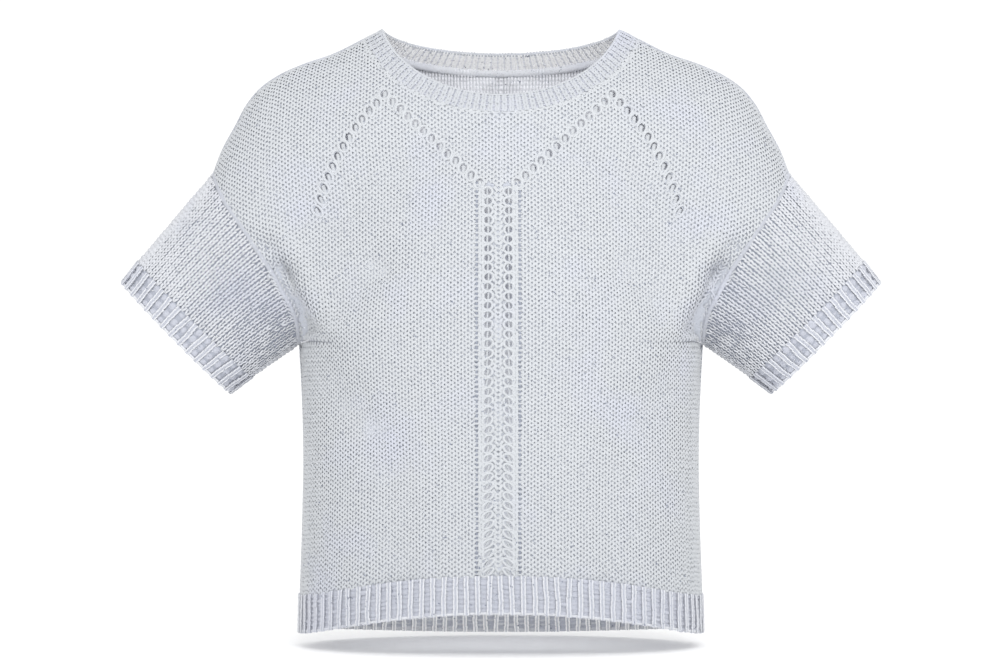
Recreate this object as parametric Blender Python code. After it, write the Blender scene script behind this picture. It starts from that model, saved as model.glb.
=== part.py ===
"""A cropped, short-sleeved lace jumper, hollow and filled out as if worn: nine closed walls of knitted cloth.

The origin is midway between the shoulder seams. +Z is up, the front faces -Y and the wearer's left is +X. The
sizes below are in millimetres, and MM turns them into the scene's metres.
"""
import math

import bmesh
import bpy
import numpy as np
from mathutils import Matrix

MM = 0.001
WALL = 2.5  # the chunky knit's thickness
SEAM_GAP = 0.3
ARMHOLE_GAP = 0.42  # before the twist of the cuts near the underarm takes up a part of it
LEAST_OPENING = 0.9  # keeps the mitre of a sharp corner, such as the underarm, short
QUARTER = math.pi / 2

# Body: half-width at the side seams, and how far the front and back stand off the side seams' plane.
BODY_SECTIONS = [
    # height, half_width, front_depth, back_depth
    (-560.0, 191.5, 113.0, 103.0),
    (-501.0, 190.0, 116.0, 105.0),
    (-452.0, 188.3, 118.0, 106.0),
    (-377.0, 187.0, 120.0, 107.0),
    (-319.0, 188.6, 122.0, 108.0),
    (-274.0, 191.0, 123.0, 108.0),
]
ROUNDNESS = 0.93  # the power on the sine and cosine of a body section: under 1 is squarer than an ellipse
UNDERARM_HEIGHT = -274.0

# Centre front and centre back above the underarm, up to the neckline.
FRONT_CENTRE = [
    # height, depth
    (-274.0, 123.0),
    (-220.0, 124.5),
    (-165.0, 117.0),
    (-110.0, 104.0),
    (-59.5, 88.0),
]
BACK_CENTRE = [
    # height, depth
    (-274.0, 108.0),
    (-200.0, 111.0),
    (-120.0, 105.0),
    (-55.0, 92.0),
    (-8.3, 78.0),
]

# The shoulder line from the neckline to the top of the sleeve, and the armhole from the underarm up to there.
SHOULDER_LINE = [
    # x, height
    (127.9, 15.8),
    (158.4, 0.6),
    (189.0, -10.1),
    (210.8, -20.0),
    (229.8, -33.7),
    (241.0, -47.5),
    (252.0, -68.0),
    (264.0, -90.0),
    (273.0, -113.0),
]
ARMHOLE_LINE = [
    # x, height
    (191.0, -274.0),
    (191.4, -260.0),
    (195.4, -243.3),
    (202.6, -229.3),
    (212.6, -209.9),
    (224.0, -192.1),
    (239.5, -169.5),
    (260.0, -140.0),
    (273.0, -113.0),
]
ARMHOLE_FRONT_DEPTH, ARMHOLE_BACK_DEPTH = 55.0, 50.0

# How the yoke's cross-lines bend back to the armhole. Near the underarm they keep the body's oval and turn in
# to the seam late, in a crease; above it they flatten, and the sleeve draws the panel out from further in.
BEND_ABOVE, PULL_AT_UNDERARM, PULL_ABOVE = 1.9, 6.0, 2.6
CREASE_ENDS_FROM, CREASE_ENDS_BY = 0.12, 0.68  # shares of the armhole

# Neck: the band's seam on the panels and its free edge, each a ring round the neck.
NECK_RINGS = {
    # name: half_width, front_depth, back_depth, height_at_shoulder, front_drop, back_drop
    "seam": (127.9, 88.0, 78.0, 15.8, 75.3, 24.1),
    "edge": (112.0, 80.0, 64.0, 24.0, 67.0, 16.7),
}
SHOULDER_SOFTNESS = 0.26  # rounds the peak of the rings over the shoulders

# Hems: the front arcs up to the middle, and the back hangs lower.
HEM_HEIGHT, HEM_RIB = -547.0, 35.0
FRONT_RISE, FRONT_RISE_POWER = 25.7, 2.2
BACK_RISE, BACK_RISE_POWER = -10.0, 2.0

# Sleeve: it runs down and out at 45 degrees to an oval cuff.
CUFF_CENTRE, CUFF_HALF_HEIGHT, CUFF_HALF_DEPTH = (308.3, -268.7), 73.0, 43.0
CUFF_RIB, CUFF_FLARE_HEIGHT, CUFF_FLARE_DEPTH = 25.0, 3.5, 2.5
SLEEVE_TILT = math.radians(44.5)
SLEEVE_AXIS = np.array([math.cos(SLEEVE_TILT), 0, -math.sin(SLEEVE_TILT)])

# Ribs: a knit wale raised on the wall between two sunken purl ones.
HEM_RIBS, CUFF_RIBS, NECK_RIBS_A_STEP = 47, 33, 2
HEM_RIDGE, CUFF_RIDGE, NECK_RIDGE = 1.6, 1.6, 1.2
RIB_PROFILE = [
    # share of the rib's width, share of the ridge's height
    (0.0, 0.0),
    (0.34, 1.0),
    (0.66, 1.0),
]

# Grid: the rows and columns of half a panel, and the sleeve's rings.
LOWER_ROWS, CHEST_ROWS, NECK_ROWS = 8, 7, 9
YOKE_ROWS = CHEST_ROWS + NECK_ROWS
NECK_FROM = LOWER_ROWS + CHEST_ROWS  # the row where the centre line meets the neckline
COLUMNS = 12
SLEEVE_RINGS = 6
FINE_STEPS = 720  # for measuring along a curved edge

# The largest soft folds of the panels, the same on both halves but for the depths.
FOLDS = [
    # side, x_start, height_start, x_end, height_end, half_breadth, depth_left, depth_right
    ("front", 172.0, -258.0, 118.0, -206.0, 20.0, 4.5, 5.5),
    ("front", 168.0, -300.0, 126.0, -352.0, 22.0, 2.5, 3.5),
    ("front", 104.0, -395.0, 96.0, -500.0, 24.0, 2.0, 3.0),
    ("back", 170.0, -262.0, 105.0, -215.0, 24.0, 5.0, 5.0),
    ("back", 120.0, -360.0, 104.0, -505.0, 26.0, 4.0, 3.0),
    ("back", 48.0, -410.0, 44.0, -520.0, 24.0, 2.5, 3.5),
]
SLEEVE_FOLDS = [
    # side, share_round_from_underside, half_breadth_share, depth, deepest_share_along_sleeve
    ("front", 0.20, 0.09, 2.6, 0.30),
    ("front", 0.42, 0.11, 1.8, 0.45),
    ("back", 0.26, 0.10, 2.8, 0.35),
]

# Lace: the lines of eyelets, each a curve from its first hole to its last.
LACE_SHIFT = -2.4  # the lace stands this far to the right-hand side of the wearer
EYELET_LINES = [
    # x_first, height_first, x_bend, height_bend, x_last, height_last, holes, width, height
    (9.6, -134.8, 9.6, -308.9, 9.6, -483.0, 41, 8.3, 6.5),
    (106.0, -42.0, 61.6, -85.0, 17.3, -126.5, 13, 7.6, 6.4),
    (113.0, -50.3, 152.8, -90.6, 168.3, -150.8, 12, 7.4, 6.4),
]
EYELET_SIDES = 6
CUTTER_NEAR, CUTTER_FAR = -170.0, -30.0  # the cutters' reach along Y, through the front wall only

COLOURS = {
    # name: linear red, green and blue of the pale blue-grey yarn as it shows on that piece
    "front": (0.64, 0.66, 0.70),
    "back": (0.60, 0.62, 0.66),
    "sleeve": (0.60, 0.62, 0.66),
    "rib": (0.65, 0.68, 0.73),
}
ROUGHNESS = 0.85


def through(rows, at):
    """The rows' columns at the given values of their first column, as a smooth curve through every row."""
    table = np.array(rows, float)
    keys, values = table[:, 0], table[:, 1:]
    slopes = np.gradient(values, keys, axis=0)
    at = np.clip(np.asarray(at, float), keys[0], keys[-1])
    low = np.clip(np.searchsorted(keys, at) - 1, 0, len(keys) - 2)
    step = (keys[low + 1] - keys[low])[..., None]
    part = (at - keys[low])[..., None] / step
    rest = 1 - part
    return (
        values[low] * rest**2 * (1 + 2 * part)
        + values[low + 1] * part**2 * (1 + 2 * rest)
        + slopes[low] * step * part * rest**2
        - slopes[low + 1] * step * part**2 * rest
    )


def along(line, share):
    """Points at these shares of the length of a line of (x, height) points."""
    points = np.array(line, float)
    lengths = np.linalg.norm(np.diff(points, axis=0), axis=1)
    shares = np.concatenate([[0], np.cumsum(lengths)]) / lengths.sum()
    return through(np.column_stack([shares, points]), share)


def unit(vectors):
    return vectors / np.linalg.norm(vectors, axis=-1, keepdims=True)


def ease(value):
    """0 to 1 with a level start and end."""
    value = np.clip(value, 0, 1)
    return value * value * (3 - 2 * value)


def facing(side):
    """-1 for the front, which looks along -Y, and +1 for the back."""
    return -1.0 if side == "front" else 1.0


def body_section(side, angle, height):
    """Points of the body's cross-section; angle is 0 at the centre and a quarter turn at the side seam."""
    half_width, front, back = np.moveaxis(through(BODY_SECTIONS, height), -1, 0)
    depth = front if side == "front" else back
    across = np.sin(angle) ** ROUNDNESS
    out = np.maximum(np.cos(angle), 0) ** ROUNDNESS
    return np.stack([half_width * across, facing(side) * depth * out, height + 0 * angle], axis=-1)


def hem_line(side, angle):
    rise, power = (FRONT_RISE, FRONT_RISE_POWER) if side == "front" else (BACK_RISE, BACK_RISE_POWER)
    return HEM_HEIGHT + rise * np.maximum(np.cos(angle), 0) ** power


def neck_ring(name, turn):
    """A ring of the neck; turn is 0 at the centre front, a quarter at the left shoulder, a half behind."""
    half_width, front, back, top, front_drop, back_drop = NECK_RINGS[name]
    lean = np.cos(turn)
    depth = np.where(lean > 0, front, back)
    drop = np.where(lean > 0, front_drop, back_drop)
    soft = np.sqrt(lean**2 + SHOULDER_SOFTNESS**2) - SHOULDER_SOFTNESS
    full = math.sqrt(1 + SHOULDER_SOFTNESS**2) - SHOULDER_SOFTNESS
    return np.stack([half_width * np.sin(turn), -depth * lean, top - drop * soft / full], axis=-1)


def arm_ring(side, share):
    """The armhole seam; share is 0 at the underarm and 1 at the top of the sleeve."""
    depth = ARMHOLE_FRONT_DEPTH if side == "front" else ARMHOLE_BACK_DEPTH
    across = along(ARMHOLE_LINE, (1 - np.cos(math.pi * share)) / 2)
    out = facing(side) * depth * np.sin(math.pi * share)
    return np.stack([across[..., 0], out, across[..., 1]], axis=-1)


def centre_and_neckline(side, share):
    """The yoke's inner edge: up the centre to the neckline, then along the neckline to the shoulder."""
    rows = FRONT_CENTRE if side == "front" else BACK_CENTRE
    neck_from = CHEST_ROWS / YOKE_ROWS
    height = rows[0][0] + (rows[-1][0] - rows[0][0]) * np.clip(share / neck_from, 0, 1)
    depth = through(rows, height)[..., 0]
    centre = np.stack([0 * share, facing(side) * depth, height], axis=-1)
    turn = QUARTER * np.clip((share - neck_from) / (1 - neck_from), 0, 1)
    neck = neck_ring("seam", turn if side == "front" else math.pi - turn)
    return np.where((share > neck_from)[..., None], neck, centre)


def yoke(side, angle, share):
    """Points of the panel above the underarm; share is 0 there and 1 on the shoulder line."""
    across = np.sin(angle) ** ROUNDNESS
    inner, outer = centre_and_neckline(side, share), arm_ring(side, share)
    points = inner + (outer - inner) * across[..., None]
    chord = np.array([SHOULDER_LINE[0], SHOULDER_LINE[-1]], float)
    straight = chord[0] + (chord[1] - chord[0]) * across[..., None]
    sag = (along(SHOULDER_LINE, across) - straight) * (np.sin(QUARTER * share) ** 2)[..., None]
    above = ease((share - CREASE_ENDS_FROM) / (CREASE_ENDS_BY - CREASE_ENDS_FROM))
    bend = ROUNDNESS + (BEND_ABOVE - ROUNDNESS) * above
    pull = PULL_AT_UNDERARM + (PULL_ABOVE - PULL_AT_UNDERARM) * above
    points[..., 0] += sag[..., 0]
    points[..., 2] += sag[..., 1]
    points[..., 1] = inner[..., 1] * np.maximum(np.cos(angle), 0) ** bend + outer[..., 1] * across**pull
    return points


def fold_depth(side, points, on_left):
    """How far the soft folds draw each point of a panel in."""
    drawn = np.zeros(points.shape[:-1])
    for fold_side, x_start, start, x_end, end, half_breadth, depth_left, depth_right in FOLDS:
        if fold_side != side:
            continue
        first, run = np.array([x_start, start]), np.array([x_end - x_start, end - start])
        offset = points[..., [0, 2]] - first
        place = np.clip(offset @ run / (run @ run), 0, 1)
        distance = np.linalg.norm(offset - place[..., None] * run, axis=-1)
        depth = depth_left if on_left else depth_right
        drawn += depth * np.exp(-((distance / half_breadth) ** 2))
    return drawn


def grid_normals(points, outwards, closed=False):
    """Unit normals of a grid of points, turned to the side that outwards points to."""
    down = np.gradient(points, axis=0)
    if closed:
        over = (np.roll(points, -1, axis=1) - np.roll(points, 1, axis=1)) / 2
    else:
        over = np.gradient(points, axis=1)
    normals = unit(np.cross(down, over))
    turned = np.sign((normals * outwards).sum(axis=-1, keepdims=True))
    return normals * np.where(turned == 0, 1, turned)


def half_panel(side, on_left):
    """The outer skin of half a front or back, rows upwards and columns from the centre, and its normals."""
    angles = QUARTER * np.arange(COLUMNS + 1) / COLUMNS
    rows = []
    for row in range(LOWER_ROWS):
        low = hem_line(side, angles) + HEM_RIB
        rows.append(body_section(side, angles, low + (UNDERARM_HEIGHT - low) * row / LOWER_ROWS))
    for row in range(YOKE_ROWS + 1):
        rows.append(yoke(side, angles, np.full(COLUMNS + 1, row / YOKE_ROWS)))
    points = np.array(rows)
    outwards = points * (1, 1, 0) + (0, facing(side) * 1.0, 20.0)
    normals = grid_normals(points, outwards)
    free = np.zeros(points.shape[:2])
    free[:-1, 1:-1] = 1
    points = points - normals * (fold_depth(side, points, on_left) * free)[..., None]
    folded = grid_normals(points, outwards)
    folded[:, 0] = normals[:, 0]
    return points, folded


def sleeve_skin():
    """The left sleeve's outer skin: rings from armhole to cuff rib, round from the underside by the front."""
    share = np.arange(YOKE_ROWS + 1) / YOKE_ROWS
    start = np.concatenate([arm_ring("front", share), arm_ring("back", share)[-2:0:-1]])
    end = cuff_ring(len(start), CUFF_RIB)
    rings = []
    for ring in range(SLEEVE_RINGS + 1):
        part = ring / SLEEVE_RINGS
        rings.append(start + (end - start) * part)
    points = np.array(rings)
    outwards = points - points.mean(axis=1, keepdims=True)
    normals = grid_normals(points, outwards, closed=True)
    place = np.arange(len(start)) / YOKE_ROWS
    for side, around, half_breadth, depth, deepest in SLEEVE_FOLDS:
        centre = around if side == "front" else 2 - around
        across = np.exp(-(((place - centre) / half_breadth) ** 2))
        for ring in range(1, SLEEVE_RINGS):
            part = ring / SLEEVE_RINGS
            swell = np.sin(math.pi * part ** (math.log(0.5) / math.log(deepest)))
            points[ring] -= normals[ring] * (depth * swell * across)[:, None]
    return points, grid_normals(points, outwards, closed=True)


def cuff_ring(count, above):
    """An oval ring this far above the cuff's free edge, round from the underside by the front."""
    upward = np.array([math.sin(SLEEVE_TILT), 0, math.cos(SLEEVE_TILT)])
    centre = np.array([CUFF_CENTRE[0], 0, CUFF_CENTRE[1]]) - above * SLEEVE_AXIS
    flare = above / CUFF_RIB
    half_height = CUFF_HALF_HEIGHT + CUFF_FLARE_HEIGHT * flare
    half_depth = CUFF_HALF_DEPTH + CUFF_FLARE_DEPTH * flare
    turn = 2 * math.pi * np.arange(count) / count
    points = centre - half_height * np.cos(turn)[:, None] * upward
    points[:, 1] -= half_depth * np.sin(turn)
    return points


def mitre(first, second):
    """The step from an outer corner to the inner one where two walls with these outward normals meet."""
    opening = 1 + (first * second).sum(axis=-1, keepdims=True)
    return -WALL * (first + second) / np.maximum(opening, LEAST_OPENING)


def seam_push(ring, into, towards, gap):
    """The gap's step across a closed seam, square to the cut between its outer and inner corners."""
    tangent = np.roll(ring, -1, axis=0) - np.roll(ring, 1, axis=0)
    push = unit(np.cross(tangent, into)) * gap
    return push * np.sign((push * towards).sum(axis=-1, keepdims=True))


def neck_corners():
    """The neck seam and the free edge at the panels' own rows, and the band's outward normals there."""
    turn = QUARTER * np.arange(4 * NECK_ROWS) / NECK_ROWS
    seam, edge = neck_ring("seam", turn), neck_ring("edge", turn)
    tangent = np.roll(seam, -1, axis=0) - np.roll(seam, 1, axis=0)
    normals = unit(np.cross(tangent, edge - seam))
    turned = np.sign((normals * (seam * (1, 1, 0))).sum(axis=-1, keepdims=True))
    return seam, edge, normals * turned


def round_neck(front, back):
    """What two half panels hold along the neckline, all the way round in the order of neck_corners."""
    left = np.concatenate([front[NECK_FROM:-1, 0], back[:NECK_FROM:-1, 0]])
    right = (left * (-1, 1, 1))[:0:-1]
    return np.concatenate([left, back[NECK_FROM : NECK_FROM + 1, 0], right])


def round_arm(front, back):
    """What two half panels hold along the armhole, round from the underarm by the front."""
    return np.concatenate([front[LOWER_ROWS:, -1], back[LOWER_ROWS:, -1][-2:0:-1]])


def all_panels(on_left):
    """The half panels' skins and normals by side, squared up where a half meets its neighbours' planes."""
    panels = {}
    for side in ("front", "back"):
        points, normals = half_panel(side, on_left)
        normals[: NECK_FROM + 1, 0, 0] = 0
        normals[: LOWER_ROWS + 1, -1, 1] = 0
        normals[-1, :, 1] = 0
        panels[side] = (points, unit(normals))
    return panels


def panel_walls(panels):
    """Each half panel's outer and inner skins, its cuts at the neck and armhole mitred to the next piece."""
    neck_turn = mitre(round_neck(panels["front"][1], panels["back"][1]), neck_corners()[2])
    sleeve_normals = sleeve_skin()[1][0]
    walls = {}
    for side, (points, normals) in panels.items():
        inner = points - WALL * normals
        by_side = {"front": neck_turn[: NECK_ROWS + 1], "back": neck_turn[2 * NECK_ROWS : NECK_ROWS - 1 : -1]}
        inner[NECK_FROM:, 0] = points[NECK_FROM:, 0] + by_side[side]
        arm = sleeve_normals[: YOKE_ROWS + 1]
        if side == "back":
            arm = np.concatenate([sleeve_normals[:1], sleeve_normals[:YOKE_ROWS - 1:-1]])
        inner[LOWER_ROWS:, -1] = points[LOWER_ROWS:, -1] + mitre(normals[LOWER_ROWS:, -1], arm)
        for skin in (points, inner):
            skin[: LOWER_ROWS + 1, -1, 1] = facing(side) * SEAM_GAP / 2
            skin[-1, :, 1] = facing(side) * SEAM_GAP / 2
            skin[: NECK_FROM + 1, 0, 0] = 0
        walls[side] = (points, inner)
    return walls


def wall_faces(rows, columns, around, open_rows=0):
    """Faces of a wall: its outer grid of points, then its inner one. Below open_rows it has no left cut."""
    size = rows * columns
    faces = []
    last = columns if around else columns - 1

    def at(row, column):
        return row * columns + column % columns

    for row in range(rows - 1):
        for column in range(last):
            ring = [at(row, column), at(row, column + 1), at(row + 1, column + 1), at(row + 1, column)]
            faces.append(ring)
            faces.append([size + corner for corner in reversed(ring)])
    for column in range(last):
        low, high = at(0, column), at(0, column + 1)
        faces.append([high, low, size + low, size + high])
        low, high = at(rows - 1, column), at(rows - 1, column + 1)
        faces.append([low, high, size + high, size + low])
    if around:
        return faces
    for row in range(rows - 1):
        low, high = at(row, columns - 1), at(row + 1, columns - 1)
        faces.append([high, low, size + low, size + high])
        if row >= open_rows:
            low, high = at(row, 0), at(row + 1, 0)
            faces.append([low, high, size + high, size + low])
    return faces


def add_wall(name, outer, inner, material, around=False, open_rows=0, flip=False):
    """A wall of cloth as an object, lofted between its outer and inner skins."""
    points = np.concatenate([outer.reshape(-1, 3), inner.reshape(-1, 3)]) * MM
    faces = wall_faces(outer.shape[0], outer.shape[1], around, open_rows)
    if flip:
        faces = [face[::-1] for face in faces]
    mesh = bpy.data.meshes.new(name)
    mesh.from_pydata(points.tolist(), [], faces)
    mesh.materials.append(material)
    mesh.shade_smooth()
    mesh.set_sharp_from_angle(angle=math.radians(50))
    item = bpy.data.objects.new(name, mesh)
    bpy.data.collections["jumper"].objects.link(item)
    return item


def yarn(name, colour):
    material = bpy.data.materials.new(name)
    material.use_nodes = True
    shader = material.node_tree.nodes["Principled BSDF"]
    shader.inputs["Base Color"].default_value = (*colour, 1)
    shader.inputs["Roughness"].default_value = ROUGHNESS
    shader.inputs["Metallic"].default_value = 0
    return material


def add_panel(side, lefts, rights):
    """A whole front or back from its two halves, joined down the centre below the neckline."""
    halves = []
    for name, (outer, inner), mirrored in (("left", lefts[side], False), ("right", rights[side], True)):
        turn = (-1, 1, 1) if mirrored else (1, 1, 1)
        material = halves[0].data.materials[0] if halves else yarn(side + "_knit", COLOURS[side])
        flip = (side == "back") != mirrored
        half = add_wall(side + "_" + name, outer * turn, inner * turn, material,
                        open_rows=NECK_FROM, flip=flip)
        halves.append(half)
    joined = bmesh.new()
    for half in halves:
        joined.from_mesh(half.data)
    bmesh.ops.remove_doubles(joined, verts=joined.verts, dist=0.01 * MM)
    mesh = halves[0].data
    joined.to_mesh(mesh)
    joined.free()
    panel = halves[0]
    panel.name = side
    bpy.data.objects.remove(halves[1])
    mesh.shade_smooth()
    mesh.set_sharp_from_angle(angle=math.radians(50))
    return panel


def eyelets():
    """The centres and sizes of the lace's holes, on both sides of its middle."""
    for x_first, first, x_bend, bend, x_last, last, holes, width, height in EYELET_LINES:
        for hole in range(holes):
            part = hole / (holes - 1)
            weights = np.array([(1 - part) ** 2, 2 * part * (1 - part), part**2])
            across = weights @ (x_first, x_bend, x_last)
            up = weights @ (first, bend, last)
            for mirror in (-1, 1):
                yield LACE_SHIFT + mirror * across, up, width, height


def cut_eyelets(panel, cutters):
    """Six-sided holes through the front, one for each eyelet of the lace."""
    prisms = bmesh.new()
    for across, up, width, height in eyelets():
        place = Matrix.Translation((across * MM, (CUTTER_NEAR + CUTTER_FAR) / 2 * MM, up * MM))
        size = Matrix.Diagonal((width / 2, 1, height / 2, 1))
        turn = Matrix.Rotation(QUARTER, 4, "X")
        bmesh.ops.create_cone(prisms, cap_ends=True, segments=EYELET_SIDES, radius1=MM, radius2=MM,
                              depth=(CUTTER_FAR - CUTTER_NEAR) * MM, matrix=place @ size @ turn)
    bmesh.ops.recalc_face_normals(prisms, faces=prisms.faces)
    mesh = bpy.data.meshes.new("eyelet_cutters")
    prisms.to_mesh(mesh)
    prisms.free()
    cutter = bpy.data.objects.new("eyelet_cutters", mesh)
    cutter.hide_render = True
    cutter.display_type = "WIRE"
    cutters.objects.link(cutter)
    cut = panel.modifiers.new("eyelets", "BOOLEAN")
    cut.operation = "DIFFERENCE"
    cut.solver = "EXACT"
    cut.object = cutter


def ribbed(points, normals, ridge):
    """Skins of a rib whose columns follow RIB_PROFILE: the outer one with raised wales, the inner plain."""
    heights = np.resize([row[1] for row in RIB_PROFILE], points.shape[1])
    outer = points + normals * (ridge * heights)[None, :, None]
    return outer, points - WALL * normals


def rib_shares(ribs, around):
    """Where a rib's columns lie, as shares of its whole length."""
    shares = [(rib + row[0]) / ribs for rib in range(ribs) for row in RIB_PROFILE]
    return np.array(shares if around else shares + [1.0])


def add_hem_rib(side):
    """The rib below a panel, from side seam to side seam."""
    fine = np.linspace(-QUARTER, QUARTER, FINE_STEPS + 1)
    points = body_section(side, np.abs(fine), np.full(fine.shape, HEM_HEIGHT))
    points[:, 0] *= np.sign(fine)
    steps = np.linalg.norm(np.diff(points, axis=0), axis=1)
    lengths = np.concatenate([[0], np.cumsum(steps)])
    angles = np.interp(rib_shares(HEM_RIBS, False) * lengths[-1], lengths, fine)
    rows = []
    for height in (0.0, HEM_RIB - SEAM_GAP):
        row = body_section(side, np.abs(angles), hem_line(side, angles) + height)
        row[:, 0] *= np.sign(angles)
        rows.append(row)
    points = np.array(rows)
    normals = grid_normals(points, points * (1, 1, 0) + (0, facing(side), 0))
    normals[..., 2] = 0
    normals[:, [0, -1], 1] = 0
    outer, inner = ribbed(points, unit(normals), HEM_RIDGE)
    for skin in (outer, inner):
        skin[:, [0, -1], 1] = facing(side) * SEAM_GAP / 2
    return add_wall("hem_rib_" + side, outer, inner, yarn("hem_" + side + "_rib_knit", COLOURS["rib"]),
                    flip=side == "back")


def between(ring, place):
    """Points at these places, counted in the ring's own corners, along a closed ring's straight sides."""
    closed = np.concatenate([ring, ring[:1]])
    corners = np.arange(len(closed))
    return np.column_stack([np.interp(place, corners, closed[:, axis]) for axis in range(3)])


def add_cuff(name, mirror):
    """The rib round a cuff, from the sleeve's end to the free edge."""
    fine = cuff_ring(FINE_STEPS, 0.0)
    sides = np.linalg.norm(np.roll(fine, -1, axis=0) - fine, axis=1)
    lengths = np.concatenate([[0], np.cumsum(sides)])
    place = np.interp(rib_shares(CUFF_RIBS, True) * lengths[-1], lengths, np.arange(FINE_STEPS + 1))
    points = np.array([between(cuff_ring(FINE_STEPS, above), place) for above in (CUFF_RIB - SEAM_GAP, 0.0)])
    normals = grid_normals(points, points - points.mean(axis=1, keepdims=True), closed=True)
    normals = unit(normals - (normals @ SLEEVE_AXIS)[..., None] * SLEEVE_AXIS)
    outer, inner = ribbed(points, normals, CUFF_RIDGE)
    turn = np.array([mirror, 1, 1])
    return add_wall(name, outer * turn, inner * turn, yarn(name + "_knit", COLOURS["rib"]), around=True,
                    flip=mirror > 0)


def add_sleeve(name, walls, mirror):
    """A sleeve from the armhole seam to its cuff's rib."""
    points, normals = sleeve_skin()
    inner = points - WALL * normals
    flat = unit(normals[-1] - (normals[-1] @ SLEEVE_AXIS)[:, None] * SLEEVE_AXIS)
    inner[-1] = points[-1] - WALL * flat
    front, back = walls["front"], walls["back"]
    turn = round_arm(front[1] - front[0], back[1] - back[0])
    push = seam_push(points[0], turn, points[1] - points[0], ARMHOLE_GAP)
    inner[0] = points[0] + turn + push
    points[0] += push
    sign = np.array([mirror, 1, 1])
    return add_wall(name, points * sign, inner * sign, yarn(name + "_knit", COLOURS["sleeve"]), around=True,
                    flip=mirror > 0)


def add_neck_band(walls):
    """The ribbed band round the neck, from its seam on the panels to its free edge."""
    seam, edge, normals = neck_corners()
    front, back = walls["front"], walls["back"]
    turn = round_neck(front[1] - front[0], back[1] - back[0])
    push = seam_push(seam, turn, edge - seam, SEAM_GAP)
    corners = {"outer": [seam + push, edge], "inner": [seam + turn + push, edge - WALL * normals]}
    count = 4 * NECK_ROWS
    per_step = 2 * NECK_RIBS_A_STEP
    place = np.arange(count * per_step) / per_step
    raised = NECK_RIDGE * (np.arange(count * per_step) % 2)
    ridge_out = unit(between(normals, place)) * raised[:, None]
    outer = np.array([between(ring, place) + ridge_out for ring in corners["outer"]])
    inner = np.array([between(ring, place) for ring in corners["inner"]])
    return add_wall("neck_band", outer, inner, yarn("neck_band_knit", COLOURS["rib"]), around=True)


def main():
    for item in list(bpy.data.objects):
        bpy.data.objects.remove(item)
    jumper = bpy.data.collections.new("jumper")
    cutters = bpy.data.collections.new("cutters")
    cutters.hide_render = True
    for collection in (jumper, cutters):
        bpy.context.scene.collection.children.link(collection)
    lefts, rights = panel_walls(all_panels(True)), panel_walls(all_panels(False))
    cut_eyelets(add_panel("front", lefts, rights), cutters)
    add_panel("back", lefts, rights)
    for side in ("front", "back"):
        add_hem_rib(side)
    for name, mirror in (("left", 1), ("right", -1)):
        add_sleeve("sleeve_" + name, lefts, mirror)
        add_cuff("cuff_rib_" + name, mirror)
    add_neck_band(lefts)


if __name__ == "__main__":
    main()
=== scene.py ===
"""A pale, short-sleeved lace jumper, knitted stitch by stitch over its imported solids, with its stage.

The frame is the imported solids' own: metres, the origin midway between the shoulder seams, +Z up, the front
facing -Y and the wearer's left at +X. The shape's sizes below are in millimetres, as in the solids' source.
"""
import math

import bmesh
import bpy
import numpy as np
from mathutils import Matrix, Vector


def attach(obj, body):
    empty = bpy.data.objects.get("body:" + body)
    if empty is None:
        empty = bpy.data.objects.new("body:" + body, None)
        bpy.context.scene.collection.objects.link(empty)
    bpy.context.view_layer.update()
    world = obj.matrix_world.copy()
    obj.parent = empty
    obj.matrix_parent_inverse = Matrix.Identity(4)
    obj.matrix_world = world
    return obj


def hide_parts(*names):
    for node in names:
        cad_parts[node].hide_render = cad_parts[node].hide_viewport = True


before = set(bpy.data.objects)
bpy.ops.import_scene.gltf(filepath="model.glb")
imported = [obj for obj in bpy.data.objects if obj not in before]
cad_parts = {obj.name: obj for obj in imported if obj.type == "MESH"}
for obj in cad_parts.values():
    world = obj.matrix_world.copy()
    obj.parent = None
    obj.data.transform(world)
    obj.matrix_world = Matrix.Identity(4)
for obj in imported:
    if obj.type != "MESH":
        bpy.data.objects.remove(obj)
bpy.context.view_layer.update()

bl_info = {
    "name": "Lace jumper",
    "version": (1, 0, 0),
    "blender": (4, 5, 0),
    "location": "View3D > Sidebar > Jumper",
    "description": "Knits a short-sleeved lace jumper over its packed solids",
    "category": "Object",
}

MM = 0.001
QUARTER = math.pi / 2
WALL = 2.5  # the knit's thickness

# The shape, as in the solids' source. Body: half-width at the side seams, and how far the front and back
# stand off the side seams' plane.
BODY_SECTIONS = [
    # height, half_width, front_depth, back_depth
    (-560.0, 191.5, 113.0, 103.0),
    (-501.0, 190.0, 116.0, 105.0),
    (-452.0, 188.3, 118.0, 106.0),
    (-377.0, 187.0, 120.0, 107.0),
    (-319.0, 188.6, 122.0, 108.0),
    (-274.0, 191.0, 123.0, 108.0),
]
ROUNDNESS = 0.93
UNDERARM_HEIGHT = -274.0
FRONT_CENTRE = [
    # height, depth
    (-274.0, 123.0),
    (-220.0, 124.5),
    (-165.0, 117.0),
    (-110.0, 104.0),
    (-59.5, 88.0),
]
BACK_CENTRE = [
    # height, depth
    (-274.0, 108.0),
    (-200.0, 111.0),
    (-120.0, 105.0),
    (-55.0, 92.0),
    (-8.3, 78.0),
]
SHOULDER_LINE = [
    # x, height
    (127.9, 15.8),
    (158.4, 0.6),
    (189.0, -10.1),
    (210.8, -20.0),
    (229.8, -33.7),
    (241.0, -47.5),
    (252.0, -68.0),
    (264.0, -90.0),
    (273.0, -113.0),
]
ARMHOLE_LINE = [
    # x, height
    (191.0, -274.0),
    (191.4, -260.0),
    (195.4, -243.3),
    (202.6, -229.3),
    (212.6, -209.9),
    (224.0, -192.1),
    (239.5, -169.5),
    (260.0, -140.0),
    (273.0, -113.0),
]
ARMHOLE_FRONT_DEPTH, ARMHOLE_BACK_DEPTH = 55.0, 50.0
BEND_ABOVE, PULL_AT_UNDERARM, PULL_ABOVE = 1.9, 6.0, 2.6
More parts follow.
